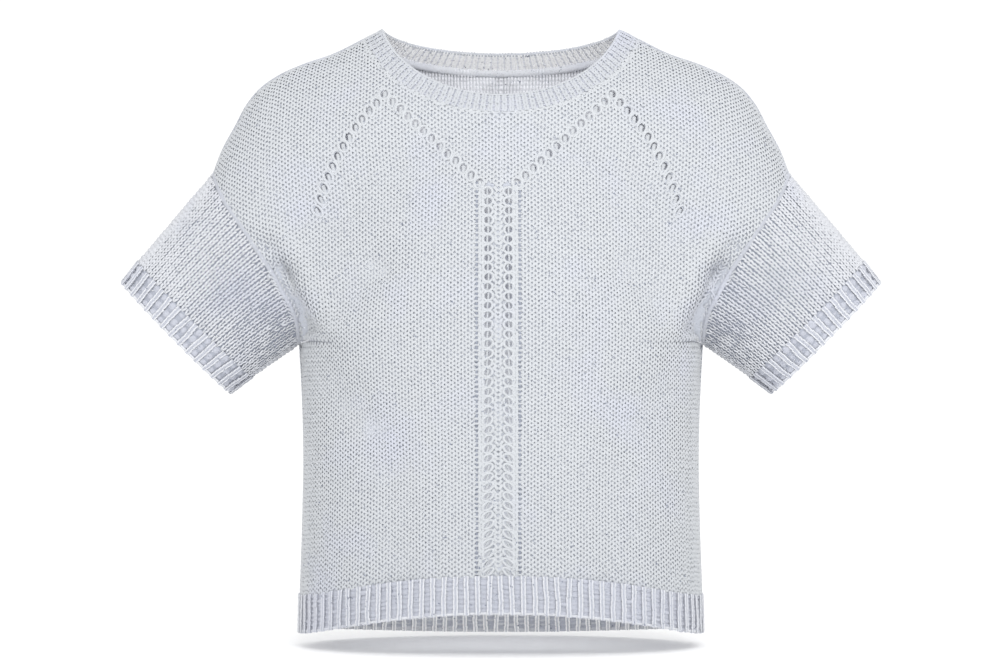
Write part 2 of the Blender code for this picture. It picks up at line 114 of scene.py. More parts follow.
CREASE_ENDS_FROM, CREASE_ENDS_BY = 0.12, 0.68
NECK_RINGS = {
    # name: half_width, front_depth, back_depth, height_at_shoulder, front_drop, back_drop
    "seam": (127.9, 88.0, 78.0, 15.8, 75.3, 24.1),
    "edge": (112.0, 80.0, 64.0, 24.0, 67.0, 16.7),
}
SHOULDER_SOFTNESS = 0.26
HEM_HEIGHT, HEM_RIB = -547.0, 35.0
FRONT_RISE, FRONT_RISE_POWER = 25.7, 2.2
BACK_RISE, BACK_RISE_POWER = -10.0, 2.0
CUFF_CENTRE, CUFF_HALF_HEIGHT, CUFF_HALF_DEPTH = (308.3, -268.7), 73.0, 43.0
CUFF_RIB, CUFF_FLARE_HEIGHT, CUFF_FLARE_DEPTH = 25.0, 3.5, 2.5
SLEEVE_TILT = math.radians(44.5)
SLEEVE_AXIS = np.array([math.cos(SLEEVE_TILT), 0, -math.sin(SLEEVE_TILT)])
HEM_RIBS, CUFF_RIBS, NECK_WALES = 47, 33, 104

# Soft folds, as in the solids' source.
FOLDS = [
    # side, x_start, height_start, x_end, height_end, half_breadth, depth_left, depth_right
    ("front", 172.0, -258.0, 118.0, -206.0, 20.0, 4.5, 5.5),
    ("front", 168.0, -300.0, 126.0, -352.0, 22.0, 2.5, 3.5),
    ("front", 104.0, -395.0, 96.0, -500.0, 24.0, 2.0, 3.0),
    ("back", 170.0, -262.0, 105.0, -215.0, 24.0, 5.0, 5.0),
    ("back", 120.0, -360.0, 104.0, -505.0, 26.0, 4.0, 3.0),
    ("back", 48.0, -410.0, 44.0, -520.0, 24.0, 2.5, 3.5),
]
CREASES = [
    # as FOLDS, but too sharp for the solids
    ("front", 185.0, -264.0, 206.0, -208.0, 9.0, 11.0, 10.0),
    ("front", 203.0, -208.0, 216.0, -184.0, 9.0, 6.0, 5.0),
    ("back", 182.0, -262.0, 203.0, -208.0, 10.0, 11.0, 12.0),
]
SLEEVE_FOLDS = [
    # side, share_round_from_underside, half_breadth_share, depth, deepest_share_along_sleeve
    ("front", 0.20, 0.09, 2.6, 0.30),
    ("front", 0.42, 0.11, 1.8, 0.45),
    ("back", 0.26, 0.10, 2.8, 0.35),
]

# Lace: the lines of eyelets, as in the solids' source.
LACE_SHIFT = -2.4
EYELET_LINES = [
    # x_first, height_first, x_bend, height_bend, x_last, height_last,
    # holes, width, height, lean_first, lean_last
    (9.6, -134.8, 9.6, -308.9, 9.6, -483.0, 41, 7.0, 6.2, 0.0, 0.7),
    (106.0, -42.0, 61.6, -85.0, 17.3, -126.5, 13, 6.8, 7.6, 0.0, 0.1),
    (113.0, -50.3, 152.8, -90.6, 168.3, -150.8, 12, 6.8, 8.2, -0.1, -0.45),
]
LACE_TOP, LACE_FOOT, LACE_HALF_WIDTH = -128.0, -487.0, 21.4
LACE_MIDDLE_WIDTH, LACE_MIDDLE_YARN = 8.8, 1.2
LACE_SIDE_AT, LACE_SIDE_WIDTH = 15.5, 5.4
GUTTER_AT, GUTTER_PITCH, GUTTER_WIDTH, GUTTER_DEPTH = 19.8, 4.465, 6.2, 0.2
GUTTER_YARN, GUTTER_UNEVEN = 0.92, 0.08

# Eyelets: how far the yarn's middle lies beyond the hole at its side and top, the thickness of the strand
# that hangs in it, and how high that strand reaches.
LACE_EYELET = (1.25, 1.1, 0.78, 1.0)
LINE_EYELET = (1.25, 1.35, 1.7, 0.42)
LINE_EYELET_FROM = 7.0  # eyelets this tall or taller lie outside the middle panel
EYELET_RIM, EYELET_LEAN, EYELET_SKEW = (1.3, 1.4), 0.9, 0.3
EYELET_STATIONS, EYELET_STRAY, EYELET_SPREAD = 14, 0.2, (0.95, 1.05)
RING_LIFT, RING_YARN = (0.1, 0.2), (1.12, 0.1)  # the mean, and how it waves round the ring
STRAND_STATIONS, STRAND_LIFT = 4, (-1.2, 0.5)
CUTTER_MIDDLE, CUTTER_LENGTH, CUTTER_SIDES = -100.0, 140.0, 8
EYELET_ROUND = [
    # sideways, out
    (-1.0, -0.9),
    (-0.8, 0.1),
    (0.0, 0.5),
    (0.8, 0.1),
    (1.0, -0.5),
]

# The grid that the skins are measured on.
COLUMNS, LOWER_ROWS, YOKE_ROWS, SLEEVE_RINGS = 72, 40, 128, 36
NECK_FROM = 7 / 16  # the share of the yoke's rows that lie below the neckline
PANEL_CLOTH_STEP, SLEEVE_CLOTH_STEP = (4, 3), (3, 4)  # rows and columns between the cloth's points
LEVEL_STEP, LOWEST_WHOLE_LEVEL = 1.5, -480.0
ON_CENTRE = 0.01  # how near to x = 0 the points of the centre line lie
BODY_RISE, NECK_RISE = 20.0, 30.0  # how far the ways out from the body and the neck point up
FACE_STEP = 2.0  # how far to each side of a point the front's slope is taken
FINE_POINTS, NECK_POINTS, CUFF_EDGE_POINTS, CUFF_CLOTH_POINTS, HEM_POINTS = 720, 160, 160, 96, 121

# The knitting. Shares are of a stitch or of the yarn's radius.
SEED = 11
FIRST_COURSE, DEPTH_SHARE = 0.2, 0.8  # where the first course lies, and how much of a step in y counts
DRAWN_UP_OVER = 1.35  # the hem's curve is evened out over this share of the height to the underarm
EDGE_REACH = 0.8  # a wale this share of its width beyond the cloth's edge is still knitted, against the seam
LEAST_STEP, MOST_STEP = 0.25, 1.9  # past these shares of the usual size a stitch is left out
LEG_AT = 0.25  # how far a stitch's legs stand from its middle
STRETCH = 0.22  # how much stitches vary in size for each millimetre of sway
# How far the stitches of each kind stray from their places, in millimetres.
SWAY = {"lace": 0.3, "lace_sides": 0.1, "gutter": 0.2, "ribs": 0.1, "bars": 0.4, "neck": 0.16,
        "neck_bars": 0.2, "neckline": 0.15, "purl": 0.12}
WAVES = [
    # length_across, length_up
    (29.0, 53.0),
    (-61.0, 37.0),
]
WAVE_SHARE, UNEVEN, FULLER = 0.035, 0.045, 0.3
PRESSED_FROM, PRESSED_BREADTH, PRESSED_BELOW = 150.0, 36.0, -262.0
TIGHT_BELOW, TIGHT_BREADTH, TIGHT_YARN = -150.0, 25.0, 0.27
TIGHT_FADE = 22.0  # the height over the underarm in which the tight stitches ease off
BULGE_FROM_SEAM, BULGE_BREADTH = 36.0, 10.0
CREASE_SINK, CREASE_INSET, CREASE_BREADTH = 0.6, 13.0, 17.0  # where the ground lies deeper, under the crease
UNDERSIDE_YARN, UNDERSIDE_FROM, UNDERSIDE_BREADTH = 0.28, 0.4, 0.7  # thinner where the normal points down
ARMPIT_FROM, ARMPIT_BREADTH, ARMPIT_BELOW = 204.0, 26.0, -228.0
ARMPIT_YARN, ARMPIT_UNEVEN = 0.2, 0.16  # how much thinner and more uneven the sleeve's yarn is in the armpit
SLEEVE_UNEVEN, LEAST_SLEEVE_YARN = 0.05, 0.3
PURL_FROM, PURL_HALF_WIDTH = -130.0, 135.0  # the purl side is knitted where it shows in the neck
NECKLINE_INSET = 2.4

# Ribs.
RIDGE_RISE, RIDGE_WIDTH, RIDGE_LEAN, RIDGE_WAVE, RIDGE_WAVES = 1.3, 0.62, 0.5, 0.35, 5
VALLEY_DEPTH, BAR_UNEVEN = 0.4, 0.1
BAR_FILL, BAR_WIDTH = 0.9, 0.72  # how much of a course a purl bar fills, and how its length is scaled
BLOCK_FILL, BLOCK_WIDTH = 0.86, 0.68  # the same for a cuff's blocks
CUFF_BLOCK = 8.3  # the length of a purl block between a cuff's ridges
NECK_COURSES = (0.1, 0.34, 0.58, 0.82)
NECK_RIDGE_RISE, NECK_VALLEY_WIDTH, NECK_BAR_YARN = 0.4, 0.5, 0.9
RIB_GROUND, CUFF_GROUND = 0.6, 0.8  # how deep the ribs' cloth lies
RIB_FOOT = 0.4  # how far the ribs' cloth ends from the free edge
LIP_INSET, LIP_HALF_WIDTH, LIP_HEIGHT = 0.9, 1.9, 1.3

# Seams and the tape in the neck.
BEAD_LENGTH, BEAD_POINTS, BEAD_SWELL = 4.4, 4, 0.07
# Each seam band's half-width and height.
ARM_SEAM, INNER_SEAM, SHOULDER_SEAM, SIDE_SEAM = (2.2, 1.0), (2.4, 1.0), (2.2, 1.0), (2.0, 0.9)
INNER_SEAM_GAP, SHOULDER_POINTS, SIDE_STEP = 0.3, 60, 4.0
TAPE_WIDTH, TAPE_HEIGHT, TAPE_DROP, TAPE_GAP, TAPE_SWELL = 7.6, 1.2, 3.4, 1.2, 0.03

# Strands of yarn, as rows of stations along them.
KNIT_LEG = [
    # across, up, lift, share_of_radius
    (0.05, -0.52, -0.35, 1.3),
    (0.25, 0.0, 0.2, 0.95),
    (0.45, 0.52, -0.3, 1.3),
]
SMOOTH_LEG = [
    # across, up, lift, share_of_radius
    (0.19, -0.62, 0.0, 1.15),
    (0.24, -0.2, 0.15, 1.25),
    (0.28, 0.2, 0.15, 1.25),
    (0.32, 0.62, 0.0, 1.15),
]
SLEEVE_LEG = [
    # across, up, lift, share_of_radius
    (0.10, -0.68, -0.6, 0.6),
    (0.17, -0.24, 0.35, 1.05),
    (0.27, 0.22, 0.45, 1.05),
    (0.35, 0.66, -0.55, 0.6),
]
RIDGE_LEG = [
    # across, up, lift, share_of_radius
    (0.21, -0.66, 0.0, 0.55),
    (0.22, -0.24, 0.35, 0.66),
    (0.25, 0.22, 0.4, 0.66),
    (0.26, 0.66, 0.05, 0.55),
]
RIDGE_BASE = [
    # across, up, lift, share_of_radius
    (0.0, -0.66, -0.7, 1.7),
    (0.0, 0.0, -0.45, 1.75),
    (0.0, 0.66, -0.7, 1.7),
]
NECK_LEG = [
    # across, up, lift, share_of_radius
    (0.12, -0.66, 0.0, 1.0),
    (0.16, -0.24, 0.1, 1.08),
    (0.21, 0.22, 0.1, 1.08),
    (0.25, 0.66, 0.0, 1.0),
]
PURL_BUMP = [
    # across, up, lift, share_of_radius
    (-0.02, -0.62, 0.1, 0.7),
    (-0.01, -0.2, 1.1, 0.85),
    (0.01, 0.2, 1.1, 0.85),
    (0.02, 0.6, 0.1, 0.7),
]
RIB_BAR = [
    # across, up, lift, share_of_radius
    (-0.46, 0.05, -0.5, 0.9),
    (-0.15, 0.0, 0.1, 1.0),
    (0.15, 0.0, 0.1, 1.0),
    (0.46, 0.05, -0.5, 0.9),
]
# the strand laid deep in each of the lace's gutters, drawn in dark yarn as painted shade
GUTTER_PAINTED_SHADE = [
    # across, up, lift, share_of_radius
    (0.0, -0.6, -0.4, 1.2),
    (0.0, 0.6, -0.4, 1.2),
]
HALF_ROUND = [
    # sideways, out
    (-1.0, -0.45),
    (0.0, 0.65),
    (1.0, -0.45),
]
FLAT_ROUND = [
    # sideways, out
    (-1.0, -0.28),
    (0.0, 0.32),
    (1.0, -0.28),
]
BAND_ROUND = [
    # sideways, out
    (-1.0, -0.9),
    (-0.82, 0.25),
    (-0.4, 0.85),
    (0.0, 1.0),
    (0.4, 0.85),
    (0.82, 0.25),
    (1.0, -0.9),
]


def through(rows, at):
    """The rows' columns at the given values of their first column, as a smooth curve through every row."""
    table = np.array(rows, float)
    keys, values = table[:, 0], table[:, 1:]
    slopes = np.gradient(values, keys, axis=0)
    at = np.clip(np.asarray(at, float), keys[0], keys[-1])
    low = np.clip(np.searchsorted(keys, at) - 1, 0, len(keys) - 2)
    step = (keys[low + 1] - keys[low])[..., None]
    part = (at - keys[low])[..., None] / step
    rest = 1 - part
    return (
        values[low] * rest**2 * (1 + 2 * part)
        + values[low + 1] * part**2 * (1 + 2 * rest)
        + slopes[low] * step * part * rest**2
        - slopes[low + 1] * step * part**2 * rest
    )


def along(line, share):
    """Points at these shares of the length of a line of (x, height) points."""
    points = np.array(line, float)
    lengths = np.linalg.norm(np.diff(points, axis=0), axis=1)
    shares = np.concatenate([[0], np.cumsum(lengths)]) / lengths.sum()
    return through(np.column_stack([shares, points]), share)


def closed_ring(ring):
    """A ring's rows, with the first once more at the end."""
    return np.concatenate([ring, ring[:1]])


def lengths_along(line):
    """How far along a line each of its points lies."""
    return np.concatenate([[0], np.cumsum(np.linalg.norm(np.diff(line, axis=0), axis=1))])


def points_at(places, keys, points, *beyond):
    """A line's points at places between its keys. Beyond is given before the first and after the last."""
    return np.column_stack([np.interp(places, keys, column, *beyond) for column in points.T])


def unit(vectors):
    lengths = np.linalg.norm(vectors, axis=-1, keepdims=True)
    return vectors / np.maximum(lengths, 1e-9)


def ease(value):
    """0 to 1 with a level start and end."""
    value = np.clip(value, 0, 1)
    return value * value * (3 - 2 * value)


def facing(side):
    return -1.0 if side == "front" else 1.0


def from_middle(points, side, rise=0.0):
    """A way out from the body at each point of a front or back, tilted up by rise."""
    return points * (1, 1, 0) + (0, facing(side), rise)


def from_neck(points):
    """A way up and out from the neck at each point."""
    return points * (1, 1, 0) + (0, 0, NECK_RISE)


def body_section(side, angle, height):
    """Points of the body's cross-section; angle is 0 at the centre and a quarter turn at the side seam."""
    half_width, front, back = np.moveaxis(through(BODY_SECTIONS, height), -1, 0)
    depth = front if side == "front" else back
    across = np.abs(np.sin(angle)) ** ROUNDNESS * np.sign(angle)
    out = np.maximum(np.cos(angle), 0) ** ROUNDNESS
    return np.stack([half_width * across, facing(side) * depth * out, height + 0 * angle], axis=-1)


def hem_line(side, angle):
    rise, power = (FRONT_RISE, FRONT_RISE_POWER) if side == "front" else (BACK_RISE, BACK_RISE_POWER)
    return HEM_HEIGHT + rise * np.maximum(np.cos(angle), 0) ** power


def neck_ring(name, turn):
    """A ring of the neck; turn is 0 at the centre front, a quarter at the left shoulder, half at the back."""
    half_width, front, back, top, front_drop, back_drop = NECK_RINGS[name]
    lean = np.cos(turn)
    depth = np.where(lean > 0, front, back)
    drop = np.where(lean > 0, front_drop, back_drop)
    soft = np.sqrt(lean**2 + SHOULDER_SOFTNESS**2) - SHOULDER_SOFTNESS
    full = math.sqrt(1 + SHOULDER_SOFTNESS**2) - SHOULDER_SOFTNESS
    return np.stack([half_width * np.sin(turn), -depth * lean, top - drop * soft / full], axis=-1)


def arm_ring(side, share):
    """The armhole seam; share is 0 at the underarm and 1 at the top of the sleeve."""
    depth = ARMHOLE_FRONT_DEPTH if side == "front" else ARMHOLE_BACK_DEPTH
    across = along(ARMHOLE_LINE, (1 - np.cos(math.pi * share)) / 2)
    out = facing(side) * depth * np.sin(math.pi * share)
    return np.stack([across[..., 0], out, across[..., 1]], axis=-1)


def armhole_ring():
    """The left armhole seam as a ring, round from the underside by the front."""
    share = np.arange(YOKE_ROWS + 1) / YOKE_ROWS
    return np.concatenate([arm_ring("front", share), arm_ring("back", share)[-2:0:-1]])


def neck_rings():
    """The neck band's rings of points at its seam and at its free edge."""
    turn = 2 * math.pi * np.arange(NECK_POINTS) / NECK_POINTS
    return neck_ring("seam", turn), neck_ring("edge", turn)


def centre_and_neckline(side, share):
    """The yoke's inner edge: up the centre to the neckline, then along the neckline to the shoulder."""
    rows = FRONT_CENTRE if side == "front" else BACK_CENTRE
    height = rows[0][0] + (rows[-1][0] - rows[0][0]) * np.clip(share / NECK_FROM, 0, 1)
    depth = through(rows, height)[..., 0]
    centre = np.stack([0 * share, facing(side) * depth, height], axis=-1)
    turn = QUARTER * np.clip((share - NECK_FROM) / (1 - NECK_FROM), 0, 1)
    neck = neck_ring("seam", turn if side == "front" else math.pi - turn)
    return np.where((share > NECK_FROM)[..., None], neck, centre)


def yoke(side, angle, share):
    """Points of the panel above the underarm; share is 0 there and 1 on the shoulder line."""
    across = np.sin(angle) ** ROUNDNESS
    inner, outer = centre_and_neckline(side, share), arm_ring(side, share)
    points = inner + (outer - inner) * across[..., None]
    chord = np.array([SHOULDER_LINE[0], SHOULDER_LINE[-1]], float)
    straight = chord[0] + (chord[1] - chord[0]) * across[..., None]
    sag = (along(SHOULDER_LINE, across) - straight) * (np.sin(QUARTER * share) ** 2)[..., None]
    above = ease((share - CREASE_ENDS_FROM) / (CREASE_ENDS_BY - CREASE_ENDS_FROM))
    bend = ROUNDNESS + (BEND_ABOVE - ROUNDNESS) * above
    pull = PULL_AT_UNDERARM + (PULL_ABOVE - PULL_AT_UNDERARM) * above
    points[..., 0] += sag[..., 0]
    points[..., 2] += sag[..., 1]
    points[..., 1] = inner[..., 1] * np.maximum(np.cos(angle), 0) ** bend + outer[..., 1] * across**pull
    return points


def fold_depth(side, points, on_left):
    """How far the soft folds draw each point of a panel in."""
    drawn = np.zeros(points.shape[:-1])
    for fold_side, x_start, start, x_end, end, half_breadth, depth_left, depth_right in FOLDS + CREASES:
        if fold_side != side:
            continue
        first, run = np.array([x_start, start]), np.array([x_end - x_start, end - start])
        offset = points[..., [0, 2]] - first
        place = np.clip(offset @ run / (run @ run), 0, 1)
        distance = np.linalg.norm(offset - place[..., None] * run, axis=-1)
        drawn += (depth_left if on_left else depth_right) * np.exp(-((distance / half_breadth) ** 2))
    return drawn


def grid_normals(points, outwards, closed=False):
    """Unit normals of a grid of points, turned to the side that outwards points to."""
    down = np.gradient(points, axis=0)
    if closed:
        over = (np.roll(points, -1, axis=1) - np.roll(points, 1, axis=1)) / 2
    else:
        over = np.gradient(points, axis=1)
    normals = unit(np.cross(down, over))
    return normals * np.sign((normals * outwards).sum())


def half_skin(side, on_left):
    """Half a front's or back's outer skin as on the wearer's left, its normals and how its folds moved it.

    Its rows go up and its columns from the centre out.
    """
    angles = QUARTER * np.arange(COLUMNS + 1) / COLUMNS
    low = hem_line(side, angles) + HEM_RIB
    rows = [body_section(side, angles, low + (UNDERARM_HEIGHT - low) * row / LOWER_ROWS)
            for row in range(LOWER_ROWS)]
    rows += [yoke(side, angles, np.full(COLUMNS + 1, row / YOKE_ROWS)) for row in range(YOKE_ROWS + 1)]
    points = np.array(rows)
    outwards = from_middle(points, side, BODY_RISE)
    normals = grid_normals(points, outwards)
    free = np.zeros(points.shape[:2])
    free[:-1, 1:-1] = 1
    folds = -normals * (fold_depth(side, points, on_left) * free)[..., None]
    points = points + folds
    return points, grid_normals(points, outwards), folds


def cuff_ring(count, above):
    """An oval ring this far above the cuff's free edge, round from the underside by the front."""
    upward = np.array([math.sin(SLEEVE_TILT), 0, math.cos(SLEEVE_TILT)])
    centre = np.array([CUFF_CENTRE[0], 0, CUFF_CENTRE[1]]) - above * SLEEVE_AXIS
    flare = above / CUFF_RIB
    turn = 2 * math.pi * np.arange(count) / count
    points = centre - (CUFF_HALF_HEIGHT + CUFF_FLARE_HEIGHT * flare) * np.cos(turn)[:, None] * upward
    points[:, 1] -= (CUFF_HALF_DEPTH + CUFF_FLARE_DEPTH * flare) * np.sin(turn)
    return points


def from_sleeve_axis(points):
    """How each point stands off the left sleeve's axis."""
    offset = points - (CUFF_CENTRE[0], 0, CUFF_CENTRE[1])
    return offset - (offset @ SLEEVE_AXIS)[..., None] * SLEEVE_AXIS


def sleeve_skin():
    """The left sleeve's outer skin: rings from armhole to cuff rib, round from the underside by the front."""
    start = armhole_ring()
    end = cuff_ring(len(start), CUFF_RIB)
    parts = np.arange(SLEEVE_RINGS + 1) / SLEEVE_RINGS
    points = start + (end - start) * parts[:, None, None]
    outwards = points - points.mean(axis=1, keepdims=True)
    normals = grid_normals(points, outwards, closed=True)
    place = np.arange(len(start)) / YOKE_ROWS
    for side, around, half_breadth, depth, deepest in SLEEVE_FOLDS:
        centre = around if side == "front" else 2 - around
        across = np.exp(-(((place - centre) / half_breadth) ** 2))
        swell = np.sin(math.pi * parts ** (math.log(0.5) / math.log(deepest)))
        points = points - normals * (depth * swell[:, None] * across)[..., None]
    return points, grid_normals(points, outwards, closed=True)


def level_lines(points):
    """The panel cut at level heights: where each column crosses each level, nan where it doesn't.

    Whatever the points carry after x, y and z is cut with them.
    """
    levels = np.arange(points[..., 2].min(), points[..., 2].max(), LEVEL_STEP)
    lines = np.full((len(levels), *points.shape[1:]), np.nan)
    for column in range(points.shape[1]):
        rise = np.maximum.accumulate(points[:, column, 2])
        inside = (levels >= rise[0]) & (levels <= rise[-1])
        lines[inside, column] = points_at(levels[inside], rise, points[:, column])
        lines[inside, column, 2] = levels[inside]
    return levels, lines


def wale_places(levels, lines):
    """How far round from the centre each crossing lies, in millimetres of cloth."""
    steps = np.nan_to_num(np.linalg.norm(np.diff(lines[..., :3], axis=1), axis=-1))
    places = np.pad(np.cumsum(steps, axis=1), ((0, 0), (1, 0)))
    underarm = int(np.argmin(abs(levels - UNDERARM_HEIGHT)))
    lowest = int(np.argmin(abs(levels - LOWEST_WHOLE_LEVEL)))
    places[lowest:underarm] *= (places[underarm - 2, -1] / places[lowest:underarm, -1])[:, None]
    places[:lowest] = places[lowest]
    neck = int(np.flatnonzero(lines[:, 0, 0] < ON_CENTRE)[-1])
    there = ~np.isnan(lines[neck, :, 0])
    for level in range(neck + 1, len(levels)):
        places[level] += np.interp(lines[level, 0, 0], lines[neck, there, 0], places[neck, there])
    return places


def runs_of(there):
    """First and one past the last of each unbroken run of true values."""
    return np.flatnonzero(np.diff(np.concatenate([[0], there.astype(int), [0]]))).reshape(-1, 2)


def stitch_grid(points, folds, wale, course, shift):
    """Points of the panel at every stitch: wales from the centre by courses up, nan off the cloth.

    The stitches are counted before the folds are laid, so that the courses run on through them. The wales are
    moved over by shift.
    """
    levels, lines = level_lines(np.concatenate([points - folds, folds], axis=-1))
    places = wale_places(levels, lines)
    underarm = int(np.argmin(abs(levels - UNDERARM_HEIGHT)))
    wales = (np.arange(-1, int(places.max() / wale)) + 0.5) * wale + shift % wale
    wales = wales[wales > 0]
    cloth = np.full((len(levels), len(wales), lines.shape[2]), np.nan)
    for level, line in enumerate(lines):
        there = ~np.isnan(line[:, 0])
        if there.sum() > 1:
            edge = places[level, there][-1]
            held = np.where((wales > edge) & (wales < edge + EDGE_REACH * wale), edge, wales)
            cloth[level] = points_at(held, places[level, there], line[there], np.nan, np.nan)
    lower_courses = round((UNDERARM_HEIGHT - HEM_HEIGHT - HEM_RIB) / course)
    heights = np.full(cloth.shape[:2], np.nan)
    rows = np.arange(FIRST_COURSE, 3 * lower_courses)
    grid = np.full((len(wales), len(rows), lines.shape[2]), np.nan)
    for number in range(len(wales)):
        for first, last in runs_of(~np.isnan(cloth[:, number, 0])):
            if last - first < 3:
                continue
            steps = np.diff(cloth[first:last, number, :3], axis=0) * (1, DEPTH_SHARE, 1)
            climb = np.concatenate([[0], np.cumsum(np.linalg.norm(steps, axis=-1))])
            if first < underarm:
                lower = climb[min(underarm, last - 1) - first]
                drawn_up = (lower_courses - lower / course) * ease(climb / lower / DRAWN_UP_OVER)
                climb = climb / course + drawn_up
            else:
                beside = heights[first : first + 4, number - 1]
                climb = climb / course + (beside[~np.isnan(beside)][:1].sum() or lower_courses)
            heights[first:last, number] = climb
            inside = (rows >= climb[0]) & (rows <= climb[-1])
            grid[number, inside] = points_at(rows[inside], climb, cloth[first:last, number])
    return grid[..., :3] + grid[..., 3:]


def step_along(grid, axis, closed=False):
    """The mean step from each point to its neighbours along an axis of the grid."""
    if closed:
        return (np.roll(grid, -1, axis=axis) - np.roll(grid, 1, axis=axis)) / 2
    step = np.diff(grid, axis=axis)
    blank = np.full(np.take(grid, [0], axis=axis).shape, np.nan)
    both = np.stack([np.concatenate([step, blank], axis=axis), np.concatenate([blank, step], axis=axis)])
    known = (~np.isnan(both)).sum(axis=0)
    return np.nansum(both, axis=0) / np.maximum(known, 1)


def sites_of(grid, outwards, closed=False):
    """Stitch sites of a grid of wales by courses: rows of point, step across, step up and outward normal."""
    across, up = step_along(grid, 0, closed), step_along(grid, 1)
    normals = unit(np.cross(across, up))
    normals = normals * np.sign(np.nansum(normals * outwards))
    sites = np.stack([grid, across, up, normals], axis=2).reshape(-1, 4, 3)
    sites = sites[~np.isnan(sites).any(axis=(1, 2))]
    sizes = np.linalg.norm(sites, axis=2)
    usual = np.median(sizes, axis=0)
    fits = (sizes[:, 1:3] > LEAST_STEP * usual[1:3]) & (sizes[:, 1:3] < MOST_STEP * usual[1:3])
    return sites[fits.all(axis=1) & (sizes[:, 3] > 0.5)]


def mirrored(sites):
    """The same sites on the wearer's right."""
    turned = sites * np.array([-1, 1, 1])
    turned[:, 1] *= -1
    return turned


def swayed(sites, amount, rng):
    """Sites moved and stretched a little each, as hand knitting is."""
    moved = sites.copy()
    shake = rng.normal(0, amount, (len(sites), 3))
    sideways, upward = shake[:, :1] * unit(sites[:, 1]), shake[:, 1:2] * unit(sites[:, 2])
    moved[:, 0] += sideways + upward + shake[:, 2:] * sites[:, 3]
    moved[:, 1:3] *= 1 + rng.normal(0, amount * STRETCH, (len(sites), 1, 1))
    return moved


def lay(sites, strand, radius, profile=HALF_ROUND, closed=False):
    """A strand of yarn at every site, as points and quads. A closed strand runs round in a ring.

    The radius is one number, or one for each site.
    """
    path = np.array(strand, float)
    point, across, up, out = (sites[:, row, None] for row in range(4))
    middle = point + across * path[:, 0:1] + up * path[:, 1:2] + out * path[:, 2:3]
    if closed:
        tangent = np.roll(middle, -1, axis=1) - np.roll(middle, 1, axis=1)
    else:
        tangent = np.gradient(middle, axis=1)
    sideways = unit(np.cross(tangent, out))
    thick = np.reshape(radius, (-1, 1, 1)) * path[:, 3:4]
    corners = [middle + sideways * thick * side + out * thick * rise for side, rise in profile]
    points = np.stack(corners, axis=2)
    return points.reshape(-1, 3), tube_faces(len(sites), len(path), len(profile), closed)


def tube_faces(count, stations, corners, closed):
    """Quads of count strands, with this many stations along and corners across each, open underneath."""
    station, corner = np.meshgrid(np.arange(stations if closed else stations - 1), np.arange(corners - 1),
                                  indexing="ij")
    after, next_corner = (station + 1) % stations, corner + 1
    quad = np.stack([station * corners + corner, station * corners + next_corner,
                     after * corners + next_corner, after * corners + corner], axis=-1).reshape(-1, 4)
    return (quad[None] + np.arange(count)[:, None, None] * stations * corners).reshape(-1, 4)


def mirror_strand(strand):
    return [(-across, up, lift, share) for across, up, lift, share in strand][::-1]


def mirror_parts(parts):
    """The same lots of points and quads on the wearer's right."""
    return [(points * (-1, 1, 1), quads[:, ::-1]) for points, quads in parts]


def add_mesh(name, parts, *materials):
    """A smooth mesh object of several lots of points and quads, in millimetres.

    Of two materials, the first goes on a wall's outer skin and the second on its inner.
    """
    points = np.concatenate([part[0] for part in parts]) * MM
    starts = np.cumsum([0] + [len(part[0]) for part in parts[:-1]])
    quads = np.concatenate([part[1] + start for part, start in zip(parts, starts)])
    mesh = bpy.data.meshes.new(name)
    mesh.vertices.add(len(points))
    mesh.vertices.foreach_set("co", points.astype(np.float32).ravel())
    mesh.loops.add(quads.size)
    mesh.loops.foreach_set("vertex_index", quads.astype(np.int32).ravel())
    mesh.polygons.add(len(quads))
    mesh.polygons.foreach_set("loop_start", np.arange(0, quads.size, 4, dtype=np.int32))
    mesh.update(calc_edges=True)
    mesh.shade_smooth()
    for material in materials:
        mesh.materials.append(material)
    if len(materials) > 1:
        inner = np.concatenate([part[1].min(axis=1) >= len(part[0]) // 2 for part in parts])
        mesh.polygons.foreach_set("material_index", inner.astype(np.int32))
    item = bpy.data.objects.new(name, mesh)
    bpy.context.scene.collection.objects.link(item)
    return item


def knit(sites, radius, leg=KNIT_LEG, profile=HALF_ROUND, clear=None):
    """V stitches: two legs of yarn at each site, but none where clear, if given, isn't true of its middle."""
    parts = []
    radius = np.broadcast_to(radius, len(sites))
    for mirror, strand in ((1, leg), (-1, mirror_strand(leg))):
        kept = clear(sites[:, 0] + sites[:, 1] * mirror * LEG_AT) if clear else slice(None)
        parts.append(lay(sites[kept], strand, radius[kept], profile))
    return parts


def by_armhole(points):
    """How far points lie in from the armhole's line, and how much, 0 to 1, along its tight lower half."""
    across, up = np.array(ARMHOLE_LINE).T
    height = points[..., 2]
    low = ease((TIGHT_BELOW - height) / TIGHT_BREADTH) * ease((height - UNDERARM_HEIGHT) / TIGHT_FADE)
    return np.interp(height, up, across) - abs(points[..., 0]), low


def bell(distance, breadth):
    """1 in the middle, and fading out on both sides."""
    return np.exp(-((distance / breadth) ** 2))


def yarn_radius(sizes):
    """Half the yarn's thickness, in millimetres."""
    return sizes.yarn / MM / 2


def thickness_of(sites, radius, rng):
    """The yarn's radius at each of a panel's stitches.

    It is uneven, fuller where the sides and the bulge by the armhole are pressed flat, and thin where the
    armhole's lower half is drawn tight.
    """
    x, height = abs(sites[:, 0, 0]), sites[:, 0, 2]
    waves = np.prod([np.sin(x / across + height / up) for across, up in WAVES], axis=0)
    inset, low = by_armhole(sites[:, 0])
    tight = bell(inset, TIGHT_BREADTH) * low
    bulge = bell(inset - BULGE_FROM_SEAM, BULGE_BREADTH) * low
    pressed = ease((x - PRESSED_FROM) / PRESSED_BREADTH) * ease((PRESSED_BELOW - height) / PRESSED_BREADTH)
    share = 1 + WAVE_SHARE * waves + FULLER * np.maximum(pressed, bulge) - TIGHT_YARN * tight
    return radius * (share + rng.normal(0, UNEVEN, len(sites)))


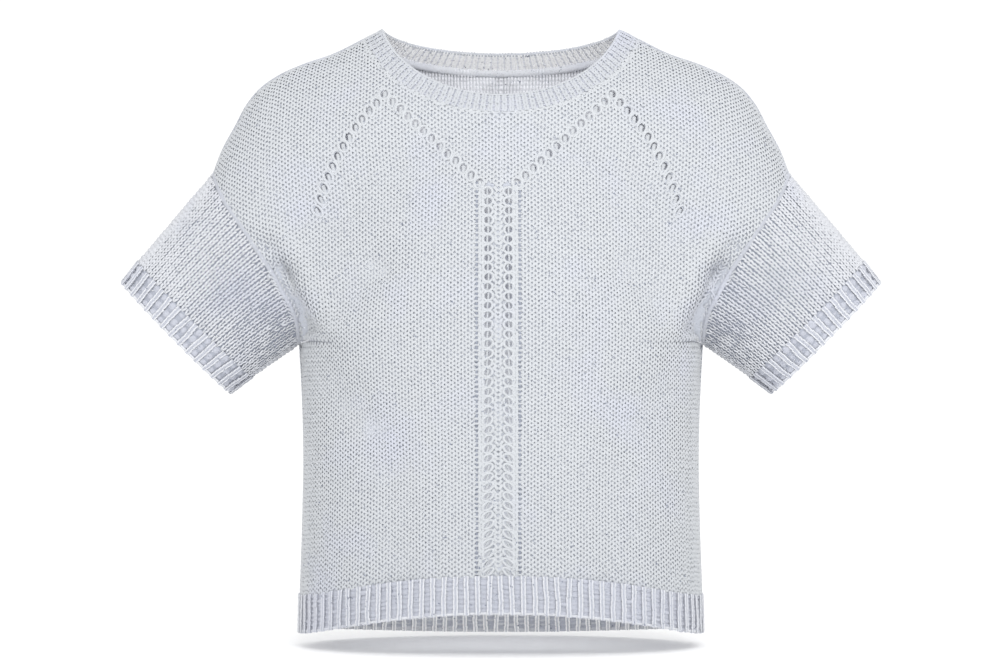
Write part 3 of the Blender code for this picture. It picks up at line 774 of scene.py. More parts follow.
def placed(piece, slot, *nodes):
    """Puts a piece on the frame: on the one body, and hides the solids that it stands for."""
    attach(piece, "root")
    if nodes:
        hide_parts(*nodes)
    return piece


# Materials ----------------------------------------------------------------------------------------


MIX_SHARE, MIX_FIRST, MIX_SECOND, MIX_COLOUR = 0, 6, 7, 2  # the sockets of a Mix node that mixes colours
PLY_SHADE = 0.86  # how dark the yarn is between its plies
# The noise in the yarn: the width of one patch in millimetres, and the noise where it starts and is full.
CLOUDS, PLIES, FLECKS = (71.43, 0.5, 0.78), (1.613, 0.5, 0.68), (2.632, 0.64, 0.72)
FIBRE_WIDTH, FIBRE_HEIGHT = 1.111, 0.12  # real fibres are far finer; these are as coarse as shows
YARN_FINISH = {"Roughness": 0.85, "Sheen Weight": 0.25, "Sheen Roughness": 0.5, "Specular IOR Level": 0.3}


def linear(hex_colour):
    """An sRGB hex colour as linear red, green, blue and one for alpha."""
    values = [int(hex_colour[place : place + 2], 16) / 255 for place in (1, 3, 5)]
    return tuple(v / 12.92 if v <= 0.04045 else ((v + 0.055) / 1.055) ** 2.4 for v in values) + (1.0,)


def add_node(tree, kind, links=(), **settings):
    """Adds a node. Settings name its properties or, failing that, its sockets. Links are (socket, source)."""
    node = tree.nodes.new(kind)
    for name, value in settings.items():
        if hasattr(node, name):
            setattr(node, name, value)
        else:
            node.inputs[name.replace("_", " ")].default_value = value
    for socket, source in links:
        tree.links.new(source, node.inputs[socket])
    return node


def noise_scale(width):
    """The scale of a noise whose patches are this wide."""
    return 1 / (width * MM)


def noise_share(tree, place, width, low, high):
    """A cloudy 0 to 1: 0 where the noise is under low and 1 where it is over high."""
    noise = add_node(tree, "ShaderNodeTexNoise", [("Vector", place)], Scale=noise_scale(width), Detail=3.0)
    share = add_node(tree, "ShaderNodeMapRange", [("Value", noise.outputs["Fac"])])
    share.inputs["From Min"].default_value = low
    share.inputs["From Max"].default_value = high
    return share.outputs["Result"]


def colour_mix(tree, share, first, second):
    """Two colours mixed by a share. Each is a colour or another node's socket."""
    mix = add_node(tree, "ShaderNodeMix", data_type="RGBA")
    tree.links.new(share, mix.inputs[MIX_SHARE])
    for socket, colour in ((MIX_FIRST, first), (MIX_SECOND, second)):
        if isinstance(colour, tuple):
            mix.inputs[socket].default_value = colour
        else:
            tree.links.new(colour, mix.inputs[socket])
    return mix.outputs[MIX_COLOUR]


def yarn_material(name, base, tint, fleck):
    """Cotton-blend knitting yarn, spun from two plies: matt, a little hairy, and flecked with darker fibre.

    The plies and loose fibres give a soft broken highlight, and the dye takes unevenly, in soft clouds.
    """
    material = bpy.data.materials.new(name)
    material.use_nodes = True
    tree = material.node_tree
    shader = tree.nodes["Principled BSDF"]
    place = add_node(tree, "ShaderNodeTexCoord").outputs["Object"]
    clouded = colour_mix(tree, noise_share(tree, place, *CLOUDS), linear(base), linear(tint))
    between = tuple(PLY_SHADE * value for value in linear(base)[:3]) + (1.0,)
    spun = colour_mix(tree, noise_share(tree, place, *PLIES), clouded, between)
    flecked = colour_mix(tree, noise_share(tree, place, *FLECKS), spun, linear(fleck))
    tree.links.new(flecked, shader.inputs["Base Color"])
    fibre = add_node(tree, "ShaderNodeTexNoise", [("Vector", place)], Scale=noise_scale(FIBRE_WIDTH),
                     Detail=4.0)
    bump = add_node(tree, "ShaderNodeBump", [("Height", fibre.outputs["Fac"])], Strength=0.6,
                    Distance=FIBRE_HEIGHT * MM)
    tree.links.new(bump.outputs["Normal"], shader.inputs["Normal"])
    for socket, value in YARN_FINISH.items():
        shader.inputs[socket].default_value = value
    return material


def yarns(colours):
    """The yarn as it shows on each part of the jumper, made once."""
    found = {m.name: m for m in bpy.data.materials if m.name.startswith("cotton_")}
    if not found:
        for name, base, tint, fleck in (
            ("cotton_blend_yarn_body", colours.body, colours.tint, colours.fleck),
            ("cotton_blend_yarn_sleeves", colours.sleeves, colours.tint, colours.fleck),
            ("cotton_blend_yarn_ribs", colours.ribs, colours.tint, colours.fleck),
            # painted shade: the darker yarn in the ribs' valleys
            ("cotton_blend_yarn_valleys", colours.valleys, colours.tint, colours.fleck),
            ("cotton_blend_yarn_seams", colours.seams, colours.tint, colours.ribs),
            # painted light: the near-white inner face of the cloth
            ("cotton_blend_cloth_inside", colours.inside, colours.tint, colours.fleck),
            # painted light: the pure white inner ridges of the ribs
            ("cotton_blend_cloth_backs", colours.backs, colours.backs, colours.fleck),
            ("cotton_blend_yarn_neck", colours.neck, colours.tint, colours.fleck),
            ("cotton_blend_yarn_shade", colours.shade, colours.shade, colours.fleck),
            # painted shade: the darker ground between the stitches
            ("cotton_blend_yarn_ground", colours.ground, colours.ground, colours.fleck),
            # painted shade: near-dark yarn for the sleeves' ground and the gutters
            ("cotton_blend_yarn_hollows", colours.hollows, colours.hollows, colours.fleck),
        ):
            found[name] = yarn_material(name, base, tint, fleck)
    return {name.rsplit("_", 1)[-1]: material for name, material in found.items()}


# Pieces -------------------------------------------------------------------------------------------

WELD_WITHIN = 0.02
SHARP_FROM = math.radians(50)


def wall_faces(rows, columns, around, open_rows=0):
    """Quads of a thin closed wall, its outer points first. It has no left cut below open_rows."""
    size = rows * columns
    faces = []
    last = columns if around else columns - 1

    def at(row, column):
        return row * columns + column % columns

    for row in range(rows - 1):
        for column in range(last):
            ring = [at(row, column), at(row, column + 1), at(row + 1, column + 1), at(row + 1, column)]
            faces += [ring, [size + corner for corner in reversed(ring)]]
    for column in range(last):
        low, high = at(0, column), at(0, column + 1)
        faces.append([high, low, size + low, size + high])
        low, high = at(rows - 1, column), at(rows - 1, column + 1)
        faces.append([low, high, size + high, size + low])
    for row in range(0 if around else rows - 1):
        low, high = at(row, columns - 1), at(row + 1, columns - 1)
        faces.append([high, low, size + low, size + high])
        if row >= open_rows:
            low, high = at(row, 0), at(row + 1, 0)
            faces.append([low, high, size + high, size + low])
    return np.array(faces)


def wall_part(points, normals, lay_in, around=False, open_rows=0, flip=False):
    """Points and quads of a wall whose skins lie under the given outer skin."""
    skins = [(points - normals * depth).reshape(-1, 3) for depth in (lay_in, WALL)]
    faces = wall_faces(*points.shape[:2], around, open_rows)
    return np.concatenate(skins), faces[:, ::-1] if flip else faces


def joined_wall(name, parts, *materials):
    """A wall of one or more parts, welded where they meet, smooth but for its cut edges."""
    wall = add_mesh(name, parts, *materials)
    welded = bmesh.new()
    welded.from_mesh(wall.data)
    bmesh.ops.remove_doubles(welded, verts=welded.verts, dist=WELD_WITHIN * MM)
    bmesh.ops.recalc_face_normals(welded, faces=welded.faces)
    welded.to_mesh(wall.data)
    welded.free()
    wall.data.shade_smooth()
    wall.data.set_sharp_from_angle(angle=SHARP_FROM)
    return wall


def panel_halves(side, sizes):
    """The names of a panel's halves, on the wearer's left and right, with the sites of their stitches."""
    halves = []
    for name, turn in (("left", 1), ("right", -1)):
        points, _, folds = half_skin(side, name == "left")
        shift = LACE_HALF_WIDTH + LACE_SHIFT * turn if side == "front" else 0
        grid = stitch_grid(points, folds, sizes.wale / MM, sizes.course / MM, shift)
        sites = sites_of(grid, from_middle(grid, side, BODY_RISE))
        halves.append((name, sites if name == "left" else mirrored(sites)))
    return halves


def panel_cloth(side, sizes, *materials):
    """The thin wall of knitted ground under the stitches of a front or back."""
    parts = []
    row_step, column_step = PANEL_CLOTH_STEP
    neck_row = LOWER_ROWS // row_step + int(YOKE_ROWS // row_step * NECK_FROM)
    for on_left in (True, False):
        points, normals, _ = half_skin(side, on_left)
        normals[..., 0][:, 0] = 0
        points, normals = points[::row_step, ::column_step], unit(normals[::row_step, ::column_step])
        turn = (1, 1, 1) if on_left else (-1, 1, 1)
        inset, low = by_armhole(points)
        sunk = CREASE_SINK * bell(inset - CREASE_INSET, CREASE_BREADTH) * low
        parts.append(wall_part(points * turn, normals * turn, sizes.ground_depth / MM + sunk[..., None],
                               open_rows=neck_row, flip=(side == "back") != (not on_left)))
    return joined_wall(side + "_cloth", parts, *materials)


def eyelets():
    """The lace's holes as rows of x, height, width, height and lean."""
    rows = []
    for *ends, holes, width, tall, lean_first, lean_last in EYELET_LINES:
        for hole in range(holes):
            part = hole / (holes - 1)
            weights = np.array([(1 - part) ** 2, 2 * part * (1 - part), part**2])
            lean = lean_first + (lean_last - lean_first) * part**2
            for mirror in (-1, 1):
                rows.append((LACE_SHIFT + mirror * (weights @ ends[::2]), weights @ ends[1::2], width, tall,
                             lean * mirror))
    return np.array(rows)


class FrontFace:
    """The front's outer skin, looked up by x and height as it is seen from the front."""

    def __init__(self):
        self.halves = [level_lines(half_skin("front", on_left)[0]) for on_left in (True, False)]

    def point(self, x, height):
        levels, lines = self.halves[0 if x >= 0 else 1]
        place = np.clip((height - levels[0]) / LEVEL_STEP, 0, len(levels) - 1.001)
        low = int(place)
        ends = []
        for line in (lines[low], lines[low + 1]):
            there = ~np.isnan(line[:, 0])
            ends.append(np.interp(abs(x), line[there, 0], line[there, 1]))
        return np.array([x, ends[0] + (ends[1] - ends[0]) * (place - low), height])

    def sites(self, rows):
        """Sites at rows of x, height, width across and length up."""
        found = []
        for x, height, width, length in rows:
            point = self.point(x, height)
            across = (self.point(x + FACE_STEP, height) - self.point(x - FACE_STEP, height)) / (2 * FACE_STEP)
            up = (self.point(x, height + FACE_STEP) - self.point(x, height - FACE_STEP)) / (2 * FACE_STEP)
            found.append((point, across * width, up * length, unit(np.cross(across, up))))
        return np.array(found)


def outside_lace(points):
    """True for the front's points that neither an eyelet nor the middle panel of lace takes up."""
    x, height = points[:, 0], points[:, 2]
    lace = (abs(x - LACE_SHIFT) < LACE_HALF_WIDTH) & (height < LACE_TOP) & (height > LACE_FOOT)
    holes = eyelets()
    z = height[:, None] - holes[:, 1]
    dx = (x[:, None] - holes[:, 0] + holes[:, 4] * z * EYELET_LEAN) / (holes[:, 2] / 2 + EYELET_RIM[0])
    dz = z / (holes[:, 3] / 2 + EYELET_RIM[1])
    return ~lace & ((dx**2 + dz**2) > 1).all(axis=1)


def eyelet_yarn(face, sizes, rng):
    """The ring of yarn round every eyelet, and the strand that hangs in it."""
    parts = []
    turn = np.linspace(0, 2 * math.pi, EYELET_STATIONS, endpoint=False)
    radius = yarn_radius(sizes)
    for x, height, width, tall, lean in eyelets():
        site = face.sites([(x + rng.normal(0, EYELET_STRAY), height + rng.normal(0, EYELET_STRAY), 1.0, 1.0)])
        rim, rise, strand_share, top = LACE_EYELET if tall < LINE_EYELET_FROM else LINE_EYELET
        wide = (width / 2 + rim) * rng.uniform(*EYELET_SPREAD)
        high = (tall / 2 + rise) * rng.uniform(*EYELET_SPREAD)
        round_x, round_z = wide * np.cos(turn), high * np.sin(turn)
        wave = np.cos(2 * turn)
        ring = np.column_stack([
            round_x - lean * EYELET_LEAN * round_z,
            round_z - EYELET_SKEW * lean * round_x,
            RING_LIFT[0] + RING_LIFT[1] * wave,
            RING_YARN[0] + RING_YARN[1] * wave,
        ])
        parts.append(lay(site, ring, radius, EYELET_ROUND, closed=True))
        bend = rng.uniform(-1.0, 1.0)
        strand = [(-lean * high * EYELET_LEAN * z + bend * (1 - z * z), z * high,
                   STRAND_LIFT[0] + STRAND_LIFT[1] * z * z, strand_share)
                  for z in np.linspace(-1, top, STRAND_STATIONS)]
        parts.append(lay(site, strand, radius))
    return parts


def lace_panel(face, sizes, rng):
    """The middle panel: a wale between the eyelets, one outside each, and gutters of purl stitches beyond."""
    heights = LACE_TOP - np.arange(math.ceil((LACE_TOP - LACE_FOOT) / GUTTER_PITCH)) * GUTTER_PITCH
    radius = yarn_radius(sizes)

    def column(place, width):
        return face.sites([(LACE_SHIFT + place, height, width, GUTTER_PITCH) for height in heights])

    middle = swayed(column(0, LACE_MIDDLE_WIDTH), SWAY["lace"], rng)
    parts = knit(middle, radius * LACE_MIDDLE_YARN, profile=FLAT_ROUND)
    hollows = []
    for mirror in (-1, 1):
        beside = swayed(column(mirror * LACE_SIDE_AT, LACE_SIDE_WIDTH), SWAY["lace_sides"], rng)
        parts += knit(beside, radius, SMOOTH_LEG, FLAT_ROUND)
        gutter = column(mirror * GUTTER_AT, GUTTER_WIDTH)
        gutter[:, 0] -= gutter[:, 3] * GUTTER_DEPTH
        bars = swayed(gutter, SWAY["gutter"], rng)
        parts.append(lay(bars, RIB_BAR, radius * rng.normal(GUTTER_YARN, GUTTER_UNEVEN, len(bars))))
        # a dark strand in the gutter: painted shade
        hollows.append(lay(gutter, GUTTER_PAINTED_SHADE, radius, FLAT_ROUND))
    return parts, hollows


def cut_eyelets(cloth):
    """Eight-sided holes through the front's ground, one inside each ring of yarn."""
    prisms = bmesh.new()
    for x, height, width, tall, _ in eyelets():
        place = Matrix.Translation((x * MM, CUTTER_MIDDLE * MM, height * MM))
        size = Matrix.Diagonal((width / 2, 1, tall / 2, 1))
        turned = place @ size @ Matrix.Rotation(QUARTER, 4, "X")
        bmesh.ops.create_cone(prisms, cap_ends=True, segments=CUTTER_SIDES, radius1=MM, radius2=MM,
                              depth=CUTTER_LENGTH * MM, matrix=turned)
    bmesh.ops.recalc_face_normals(prisms, faces=prisms.faces)
    mesh = bpy.data.meshes.new("eyelet_cutters")
    prisms.to_mesh(mesh)
    prisms.free()
    cutter = bpy.data.objects.new("eyelet_cutters", mesh)
    bpy.context.scene.collection.objects.link(cutter)
    cut = cloth.modifiers.new("eyelets", "BOOLEAN")
    cut.operation = "DIFFERENCE"
    cut.solver = "EXACT"
    cut.object = cutter
    bpy.context.view_layer.update()
    made = bpy.data.meshes.new_from_object(cloth.evaluated_get(bpy.context.evaluated_depsgraph_get()))
    cloth.modifiers.clear()
    cloth.data = made
    bpy.data.objects.remove(cutter)
    made.shade_smooth()
    made.set_sharp_from_angle(angle=SHARP_FROM)


def rib_grid_hem(side, course):
    """Ground points of a hem rib: half ribs from side seam to side seam by courses up."""
    fine = np.linspace(-QUARTER, QUARTER, FINE_POINTS + 1)
    lengths = lengths_along(body_section(side, fine, np.full(fine.shape, HEM_HEIGHT)))
    angles = np.interp(np.arange(2 * HEM_RIBS + 1) / (2 * HEM_RIBS) * lengths[-1], lengths, fine)
    courses = round(HEM_RIB / course)
    heights = (np.arange(courses) + 0.5) / courses * HEM_RIB
    return np.stack([body_section(side, angles, hem_line(side, angles) + h) for h in heights], axis=1)


def rib_grid_cuff(course):
    """Ground points of the left cuff's rib: half ribs round from the underside by courses up."""
    numbers = np.arange(FINE_POINTS + 1)
    lengths = lengths_along(closed_ring(cuff_ring(FINE_POINTS, 0.0)))
    place = np.interp(np.arange(2 * CUFF_RIBS) / (2 * CUFF_RIBS) * lengths[-1], lengths, numbers)
    courses = round(CUFF_RIB / course)
    rings = [cuff_ring(FINE_POINTS, (row + 0.5) / courses * CUFF_RIB) for row in range(courses)]
    return np.stack([points_at(place, numbers, closed_ring(ring)) for ring in rings], axis=1)


def rib_grid_neck():
    """Ground points of the neck band: half ribs evenly round from the centre front by courses up."""
    fine = 2 * math.pi * np.arange(FINE_POINTS + 1) / FINE_POINTS
    lengths = lengths_along(neck_ring("seam", fine))
    turn = np.interp(np.arange(2 * NECK_WALES) / (2 * NECK_WALES) * lengths[-1], lengths, fine)
    seam, edge = neck_ring("seam", turn), neck_ring("edge", turn)
    return np.stack([seam + (edge - seam) * part for part in NECK_COURSES], axis=1)


def rib_faces(grids, outwards, closed):
    """Sites of a rib's raised wales and of the valleys between, for its outer and its inner face.

    The grids are of the raised wales and of the valleys; outwards gives a way out at each of a grid's points.
    """
    faces = [[], []]
    for valleys, grid in enumerate(grids):
        across, up = step_along(grid, 0, closed), step_along(grid, 1)
        normals = unit(np.cross(across, up))
        normals = normals * np.sign((normals * outwards(grid)).sum())
        outer = np.stack([grid, across * 2, up, normals], axis=2)
        inner = outer.copy()
        inner[..., 0, :] -= inner[..., 3, :] * WALL
        inner[..., 3, :] *= -1
        faces[0].append(outer[1 - valleys :: 2].copy())
        faces[1].append(inner[valleys::2].copy())
    return faces


def ribs_of(wales, valleys, sizes, rng, fill=BAR_FILL, width=BAR_WIDTH, profile=HALF_ROUND):
    """The yarn of a hem's or cuff's ribs: raised wales of two fine strands, and sunk purl bars between."""
    radius = yarn_radius(sizes)
    raised, sunk = wales.copy(), valleys.reshape(-1, 4, 3)
    climb = np.linspace(0, 1, wales.shape[1])[:, None]
    lean = rng.normal(0, RIDGE_LEAN, (len(wales), 1, 1)) * climb
    wave = rng.normal(0, RIDGE_WAVE, (len(wales), 1, 1)) * np.sin(RIDGE_WAVES * climb)
    raised[:, :, 0] += raised[:, :, 3] * RIDGE_RISE + unit(raised[:, :, 1]) * (lean + wave)
    raised = raised.reshape(-1, 4, 3)
    raised[:, 1] *= RIDGE_WIDTH
    sunk[:, 0] -= sunk[:, 3] * VALLEY_DEPTH
    sunk[:, 1] *= width
    ridges = knit(swayed(raised, SWAY["ribs"], rng), radius, RIDGE_LEG)
    share = np.linalg.norm(sunk[:, 2], axis=1).mean() / (2 * radius)
    thick = radius * share * fill * rng.normal(1.0, BAR_UNEVEN, len(sunk))
    bars = lay(swayed(sunk, SWAY["bars"], rng), RIB_BAR, thick, profile)
    return ridges, [lay(raised, RIDGE_BASE, radius), bars]


def cuff_ribs(wales, valleys, sizes, rng):
    """The yarn of a cuff's ribs, with square blocks between the raised wales."""
    return ribs_of(wales, valleys, sizes, rng, fill=BLOCK_FILL, width=BLOCK_WIDTH, profile=FLAT_ROUND)


def neck_ribs(wales, valleys, sizes, rng):
    """The yarn of the neck band's fine ribs, with a hairline between one and the next."""
    radius = yarn_radius(sizes)
    raised, sunk = wales.reshape(-1, 4, 3), valleys.reshape(-1, 4, 3)
    raised[:, 0] += raised[:, 3] * NECK_RIDGE_RISE
    sunk[:, 1] *= NECK_VALLEY_WIDTH
    ridges = knit(swayed(raised, SWAY["neck"], rng), radius, NECK_LEG, FLAT_ROUND)
    return ridges, [lay(swayed(sunk, SWAY["neck_bars"], rng), RIB_BAR, radius * NECK_BAR_YARN)]


def neckline_yarn(side, on_left, sizes, rng):
    """The last row of a panel's stitches, picked up along the neckline."""
    points, normals, _ = half_skin(side, on_left)
    from_row = LOWER_ROWS + int(YOKE_ROWS * NECK_FROM)
    line, beside, outs = points[from_row:, 0], points[from_row:, 1], normals[from_row:, 1]
    lengths = lengths_along(line)
    places = np.arange(0.5, lengths[-1] / (sizes.wale / MM)) * sizes.wale / MM
    at, away, out = (points_at(places, lengths, row) for row in (line, unit(beside - line), outs))
    steps = step_along(at, 0), -away * sizes.course / MM
    sites = np.stack([at + away * NECKLINE_INSET, *steps, unit(out)], axis=1)
    lot = swayed(sites if on_left else mirrored(sites), SWAY["neckline"], rng)
    return knit(lot, yarn_radius(sizes), profile=FLAT_ROUND)


def purl_yarn(sites, radius, rng):
    """Purl stitches on the cloth's inner face: two bumps of yarn to each stitch."""
    inner = swayed(sites, SWAY["purl"], rng)
    inner[:, 0] -= inner[:, 3] * WALL
    inner[:, 3] *= -1
    parts = []
    for mirror, bump in ((-1, mirror_strand(PURL_BUMP)), (1, PURL_BUMP)):
        lot = inner.copy()
        lot[:, 0] += lot[:, 1] * mirror * LEG_AT
        parts.append(lay(lot, bump, radius))
    return parts


def band(line, outs, half_width, height, closed, swell=BEAD_SWELL):
    """A raised seam band along a line, its edges sunk and its length softly beaded."""
    line, outs = (closed_ring(row) if closed else row for row in (line, outs))
    lengths = lengths_along(line)
    count = int(lengths[-1] / (BEAD_LENGTH / BEAD_POINTS))
    places = np.arange(count) / count * lengths[-1] if closed else np.linspace(0, lengths[-1], count)
    at, out = points_at(places, lengths, line), unit(points_at(places, lengths, outs))
    side = unit(np.cross(unit(step_along(at, 0, closed)), out))
    size = (1 + swell * np.cos(2 * math.pi * places / BEAD_LENGTH))[:, None]
    points = np.stack([at + side * (half_width * across * size) + out * (height * rise * size)
                       for across, rise in BAND_ROUND], axis=1)
    return points.reshape(-1, 3), tube_faces(1, count, len(BAND_ROUND), closed)


def lip_band(edge, outs, closed):
    """The rounded free edge of a rib."""
    return band(edge, outs, LIP_HALF_WIDTH, LIP_HEIGHT, closed)


def panel_stitches(side, name, sites, sizes, yarn, rng, clear=None):
    """One half of a front's or back's stitches, with those picked up along the neckline."""
    radius = thickness_of(sites, yarn_radius(sizes), rng)
    stitches = knit(swayed(sites, sizes.sway, rng), radius, profile=FLAT_ROUND, clear=clear)
    stitches += neckline_yarn(side, name == "left", sizes, rng)
    return placed(add_mesh(f"{side}_stitches_{name}", stitches, yarn["body"]), side + "_knit")


def sleeve_sites(points, sizes):
    """Sites of the left sleeve's stitches, in wales from the cuff rib up to the armhole."""
    lines = []
    for ring in points[::-1]:
        full = closed_ring(ring)
        lengths = lengths_along(full)
        places = (np.arange(sizes.sleeve_wales) + 0.5) / sizes.sleeve_wales * lengths[-1]
        lines.append(points_at(places, lengths, full))
    wales = np.array(lines).transpose(1, 0, 2)
    heights = np.array([lengths_along(wale) for wale in wales]) / (sizes.course / MM)
    rows = np.arange(0.5, heights.max())
    grid = np.array([points_at(rows, height, wale, np.nan, np.nan) for height, wale in zip(heights, wales)])
    return sites_of(grid, from_sleeve_axis(grid), closed=True)


def sleeve_thickness(sites, rng):
    """The sleeve's yarn as a share of the usual: thinner on the underside, thin and uneven in the armpit."""
    armpit = bell(np.abs(sites[:, 0, 0]) - ARMPIT_FROM, ARMPIT_BREADTH)
    armpit = armpit * ease((ARMPIT_BELOW - sites[:, 0, 2]) / ARMPIT_BREADTH)
    underside = ease((UNDERSIDE_FROM - sites[:, 3, 2]) / UNDERSIDE_BREADTH)
    uneven = rng.normal(0, 1, len(sites)) * (SLEEVE_UNEVEN + ARMPIT_UNEVEN * armpit)
    return np.maximum(1 - UNDERSIDE_YARN * underside - ARMPIT_YARN * armpit + uneven, LEAST_SLEEVE_YARN)


# Settings -----------------------------------------------------------------------------------------


class JumperKnitSizes(bpy.types.PropertyGroup):
    """Sizes of the knitting."""

    wale: bpy.props.FloatProperty(
        name="Wale", description="Width of one stitch", default=0.00627, unit="LENGTH", subtype="DISTANCE")
    course: bpy.props.FloatProperty(
        name="Course", description="Height of one row of stitches", default=0.0044, unit="LENGTH",
        subtype="DISTANCE")
    yarn: bpy.props.FloatProperty(
        name="Yarn", description="Thickness of the yarn", default=0.0023, unit="LENGTH", subtype="DISTANCE")
    ground_depth: bpy.props.FloatProperty(
        name="Ground depth", description="How far the ground lies under the stitches", default=0.0011,
        unit="LENGTH", subtype="DISTANCE")
    sway: bpy.props.FloatProperty(
        name="Sway", description="How far stitches stray from the even grid, in millimetres", default=0.13)
    sleeve_wales: bpy.props.IntProperty(
        name="Sleeve wales", description="Columns of stitches round a sleeve", default=66)


class JumperColours(bpy.types.PropertyGroup):
    """Colours of the yarn, as sRGB hex values."""

    body: bpy.props.StringProperty(name="Body", description="Yarn of front and back", default="#BCBFC3")
    sleeves: bpy.props.StringProperty(name="Sleeves", description="Yarn of the sleeves", default="#CACCD1")
    ribs: bpy.props.StringProperty(name="Ribs", description="Yarn of the ribs and bands", default="#D0D2D7")
    # painted shade: the valleys between the ribs take a darker yarn than the ridges
    valleys: bpy.props.StringProperty(name="Valleys", description="Yarn between the ribs", default="#B3B6C0")
    seams: bpy.props.StringProperty(name="Seams", description="Yarn of the seams", default="#AAADB5")
    # painted light: the cloth's inner face and the purl side are drawn near white, lighter than the yarn
    # outside, to stand in for light inside the jumper
    inside: bpy.props.StringProperty(name="Inside", description="Inner face of the cloth", default="#ECEDF2")
    neck: bpy.props.StringProperty(name="Neck", description="Yarn of the neck band", default="#B7BABF")
    shade: bpy.props.StringProperty(name="Shade", description="Between a cuff's blocks", default="#A3A7B2")
    # painted light: the ribs' inner ridges are drawn pure white, as if lit, though they face down and away
    # from the lights
    backs: bpy.props.StringProperty(name="Backs", description="Inner ridges of the ribs", default="#FFFFFF")
    # painted shade: the ground between the stitches is drawn darker than the yarn, so the gaps read as
    # shadowed dots
    ground: bpy.props.StringProperty(name="Ground", description="Between the stitches", default="#B5B9C2")
    # painted shade: near-dark yarn for the sleeves' deep gaps and for a dark strand laid in each gutter
    hollows: bpy.props.StringProperty(
        name="Hollows", description="Yarn deep in the sleeves and gutters", default="#8D929E")
    tint: bpy.props.StringProperty(name="Tint", description="Lavender clouds in the dye", default="#BCBFCB")
    fleck: bpy.props.StringProperty(name="Fleck", description="Darker fibres in the yarn", default="#747A8A")


class JumperStage(bpy.types.PropertyGroup):
    """Sizes of the floor, the lights and the camera."""

    camera_distance: bpy.props.FloatProperty(
        name="Camera distance", description="From the camera to the shoulder seams' plane", default=3.0,
        unit="LENGTH", subtype="DISTANCE")
    camera_height: bpy.props.FloatProperty(
        name="Camera height", description="Height that the camera looks along", default=-0.267, unit="LENGTH",
        subtype="DISTANCE")
    camera_side: bpy.props.FloatProperty(
        name="Camera side", description="How far the camera stands to the wearer's left", default=0.00285,
        unit="LENGTH", subtype="DISTANCE")
    view_width: bpy.props.FloatProperty(
        name="View width", description="Width of the view at the shoulder seams' plane", default=0.9576,
        unit="LENGTH", subtype="DISTANCE")
    floor_height: bpy.props.FloatProperty(
        name="Floor", description="Height of the floor", default=-0.561, unit="LENGTH", subtype="DISTANCE")


# Operators ----------------------------------------------------------------------------------------


def settings(context):
    """The sizes of the knitting, the yarns by name, and fresh random numbers."""
    scene = context.scene
    return scene.jumper_sizes, yarns(scene.jumper_colours), np.random.default_rng(SEED)


class JUMPER_OT_front(bpy.types.Operator):
    """Knit the front, with its lace and eyelets"""

    bl_idname = "jumper.front"
    bl_label = "Front"

    def execute(self, context):
        sizes, yarn, rng = settings(context)
        # the ground's outer skin is painted shade between the stitches, its inner skin painted light
        cloth = panel_cloth("front", sizes, yarn["ground"], yarn["inside"])
        cut_eyelets(cloth)
        pieces = [panel_stitches("front", name, sites, sizes, yarn, rng, outside_lace)
                  for name, sites in panel_halves("front", sizes)]
        face = FrontFace()
        rings = eyelet_yarn(face, sizes, rng)
        lace, hollows = lace_panel(face, sizes, rng)
        pieces.append(placed(add_mesh("front_lace", rings + lace, yarn["body"]), "front_knit"))
        # the gutters' dark strands are painted shade
        pieces.append(placed(add_mesh("front_gutters", hollows, yarn["hollows"]), "front_knit"))
        placed(cloth, "front_knit", "front")
        return {"FINISHED"}


class JUMPER_OT_back(bpy.types.Operator):
    """Knit the back"""

    bl_idname = "jumper.back"
    bl_label = "Back"

    def execute(self, context):
        sizes, yarn, rng = settings(context)
        # painted shade on the back's ground between the stitches
        cloth = panel_cloth("back", sizes, yarn["ground"], yarn["ribs"])
        for name, sites in panel_halves("back", sizes):
            panel_stitches("back", name, sites, sizes, yarn, rng)
            seen = sites[(sites[:, 0, 2] > PURL_FROM) & (abs(sites[:, 0, 0]) < PURL_HALF_WIDTH)]
            purl = purl_yarn(seen, yarn_radius(sizes), rng)
            # painted light: the purl stitches take the near-white inside yarn
            placed(add_mesh("back_purl_" + name, purl, yarn["inside"]), "back_knit")
        placed(cloth, "back_knit", "back")
        return {"FINISHED"}


class JUMPER_OT_sleeves(bpy.types.Operator):
    """Knit both sleeves"""

    bl_idname = "jumper.sleeves"
    bl_label = "Sleeves"

    def execute(self, context):
        sizes, yarn, rng = settings(context)
        points, normals = sleeve_skin()
        sites = sleeve_sites(points, sizes)
        row_step, column_step = SLEEVE_CLOTH_STEP
        for name, mirror in (("left", 1), ("right", -1)):
            skin = [grid[::row_step, ::column_step] * (mirror, 1, 1) for grid in (points, normals)]
            part = wall_part(*skin, sizes.ground_depth / MM, around=True)
            # painted shade on the sleeve's ground outside, painted light inside
            cloth = joined_wall(f"sleeve_{name}_cloth", [part], yarn["hollows"], yarn["inside"])
            lot = swayed(sites if mirror > 0 else mirrored(sites), sizes.sway, rng)
            strands = knit(lot, yarn_radius(sizes) * sleeve_thickness(lot, rng), SLEEVE_LEG)
            stitches = add_mesh(f"sleeve_{name}_stitches", strands, yarn["sleeves"])
            placed(stitches, f"sleeve_{name}_knit")
            placed(cloth, f"sleeve_{name}_knit", "sleeve_" + name)
        return {"FINISHED"}


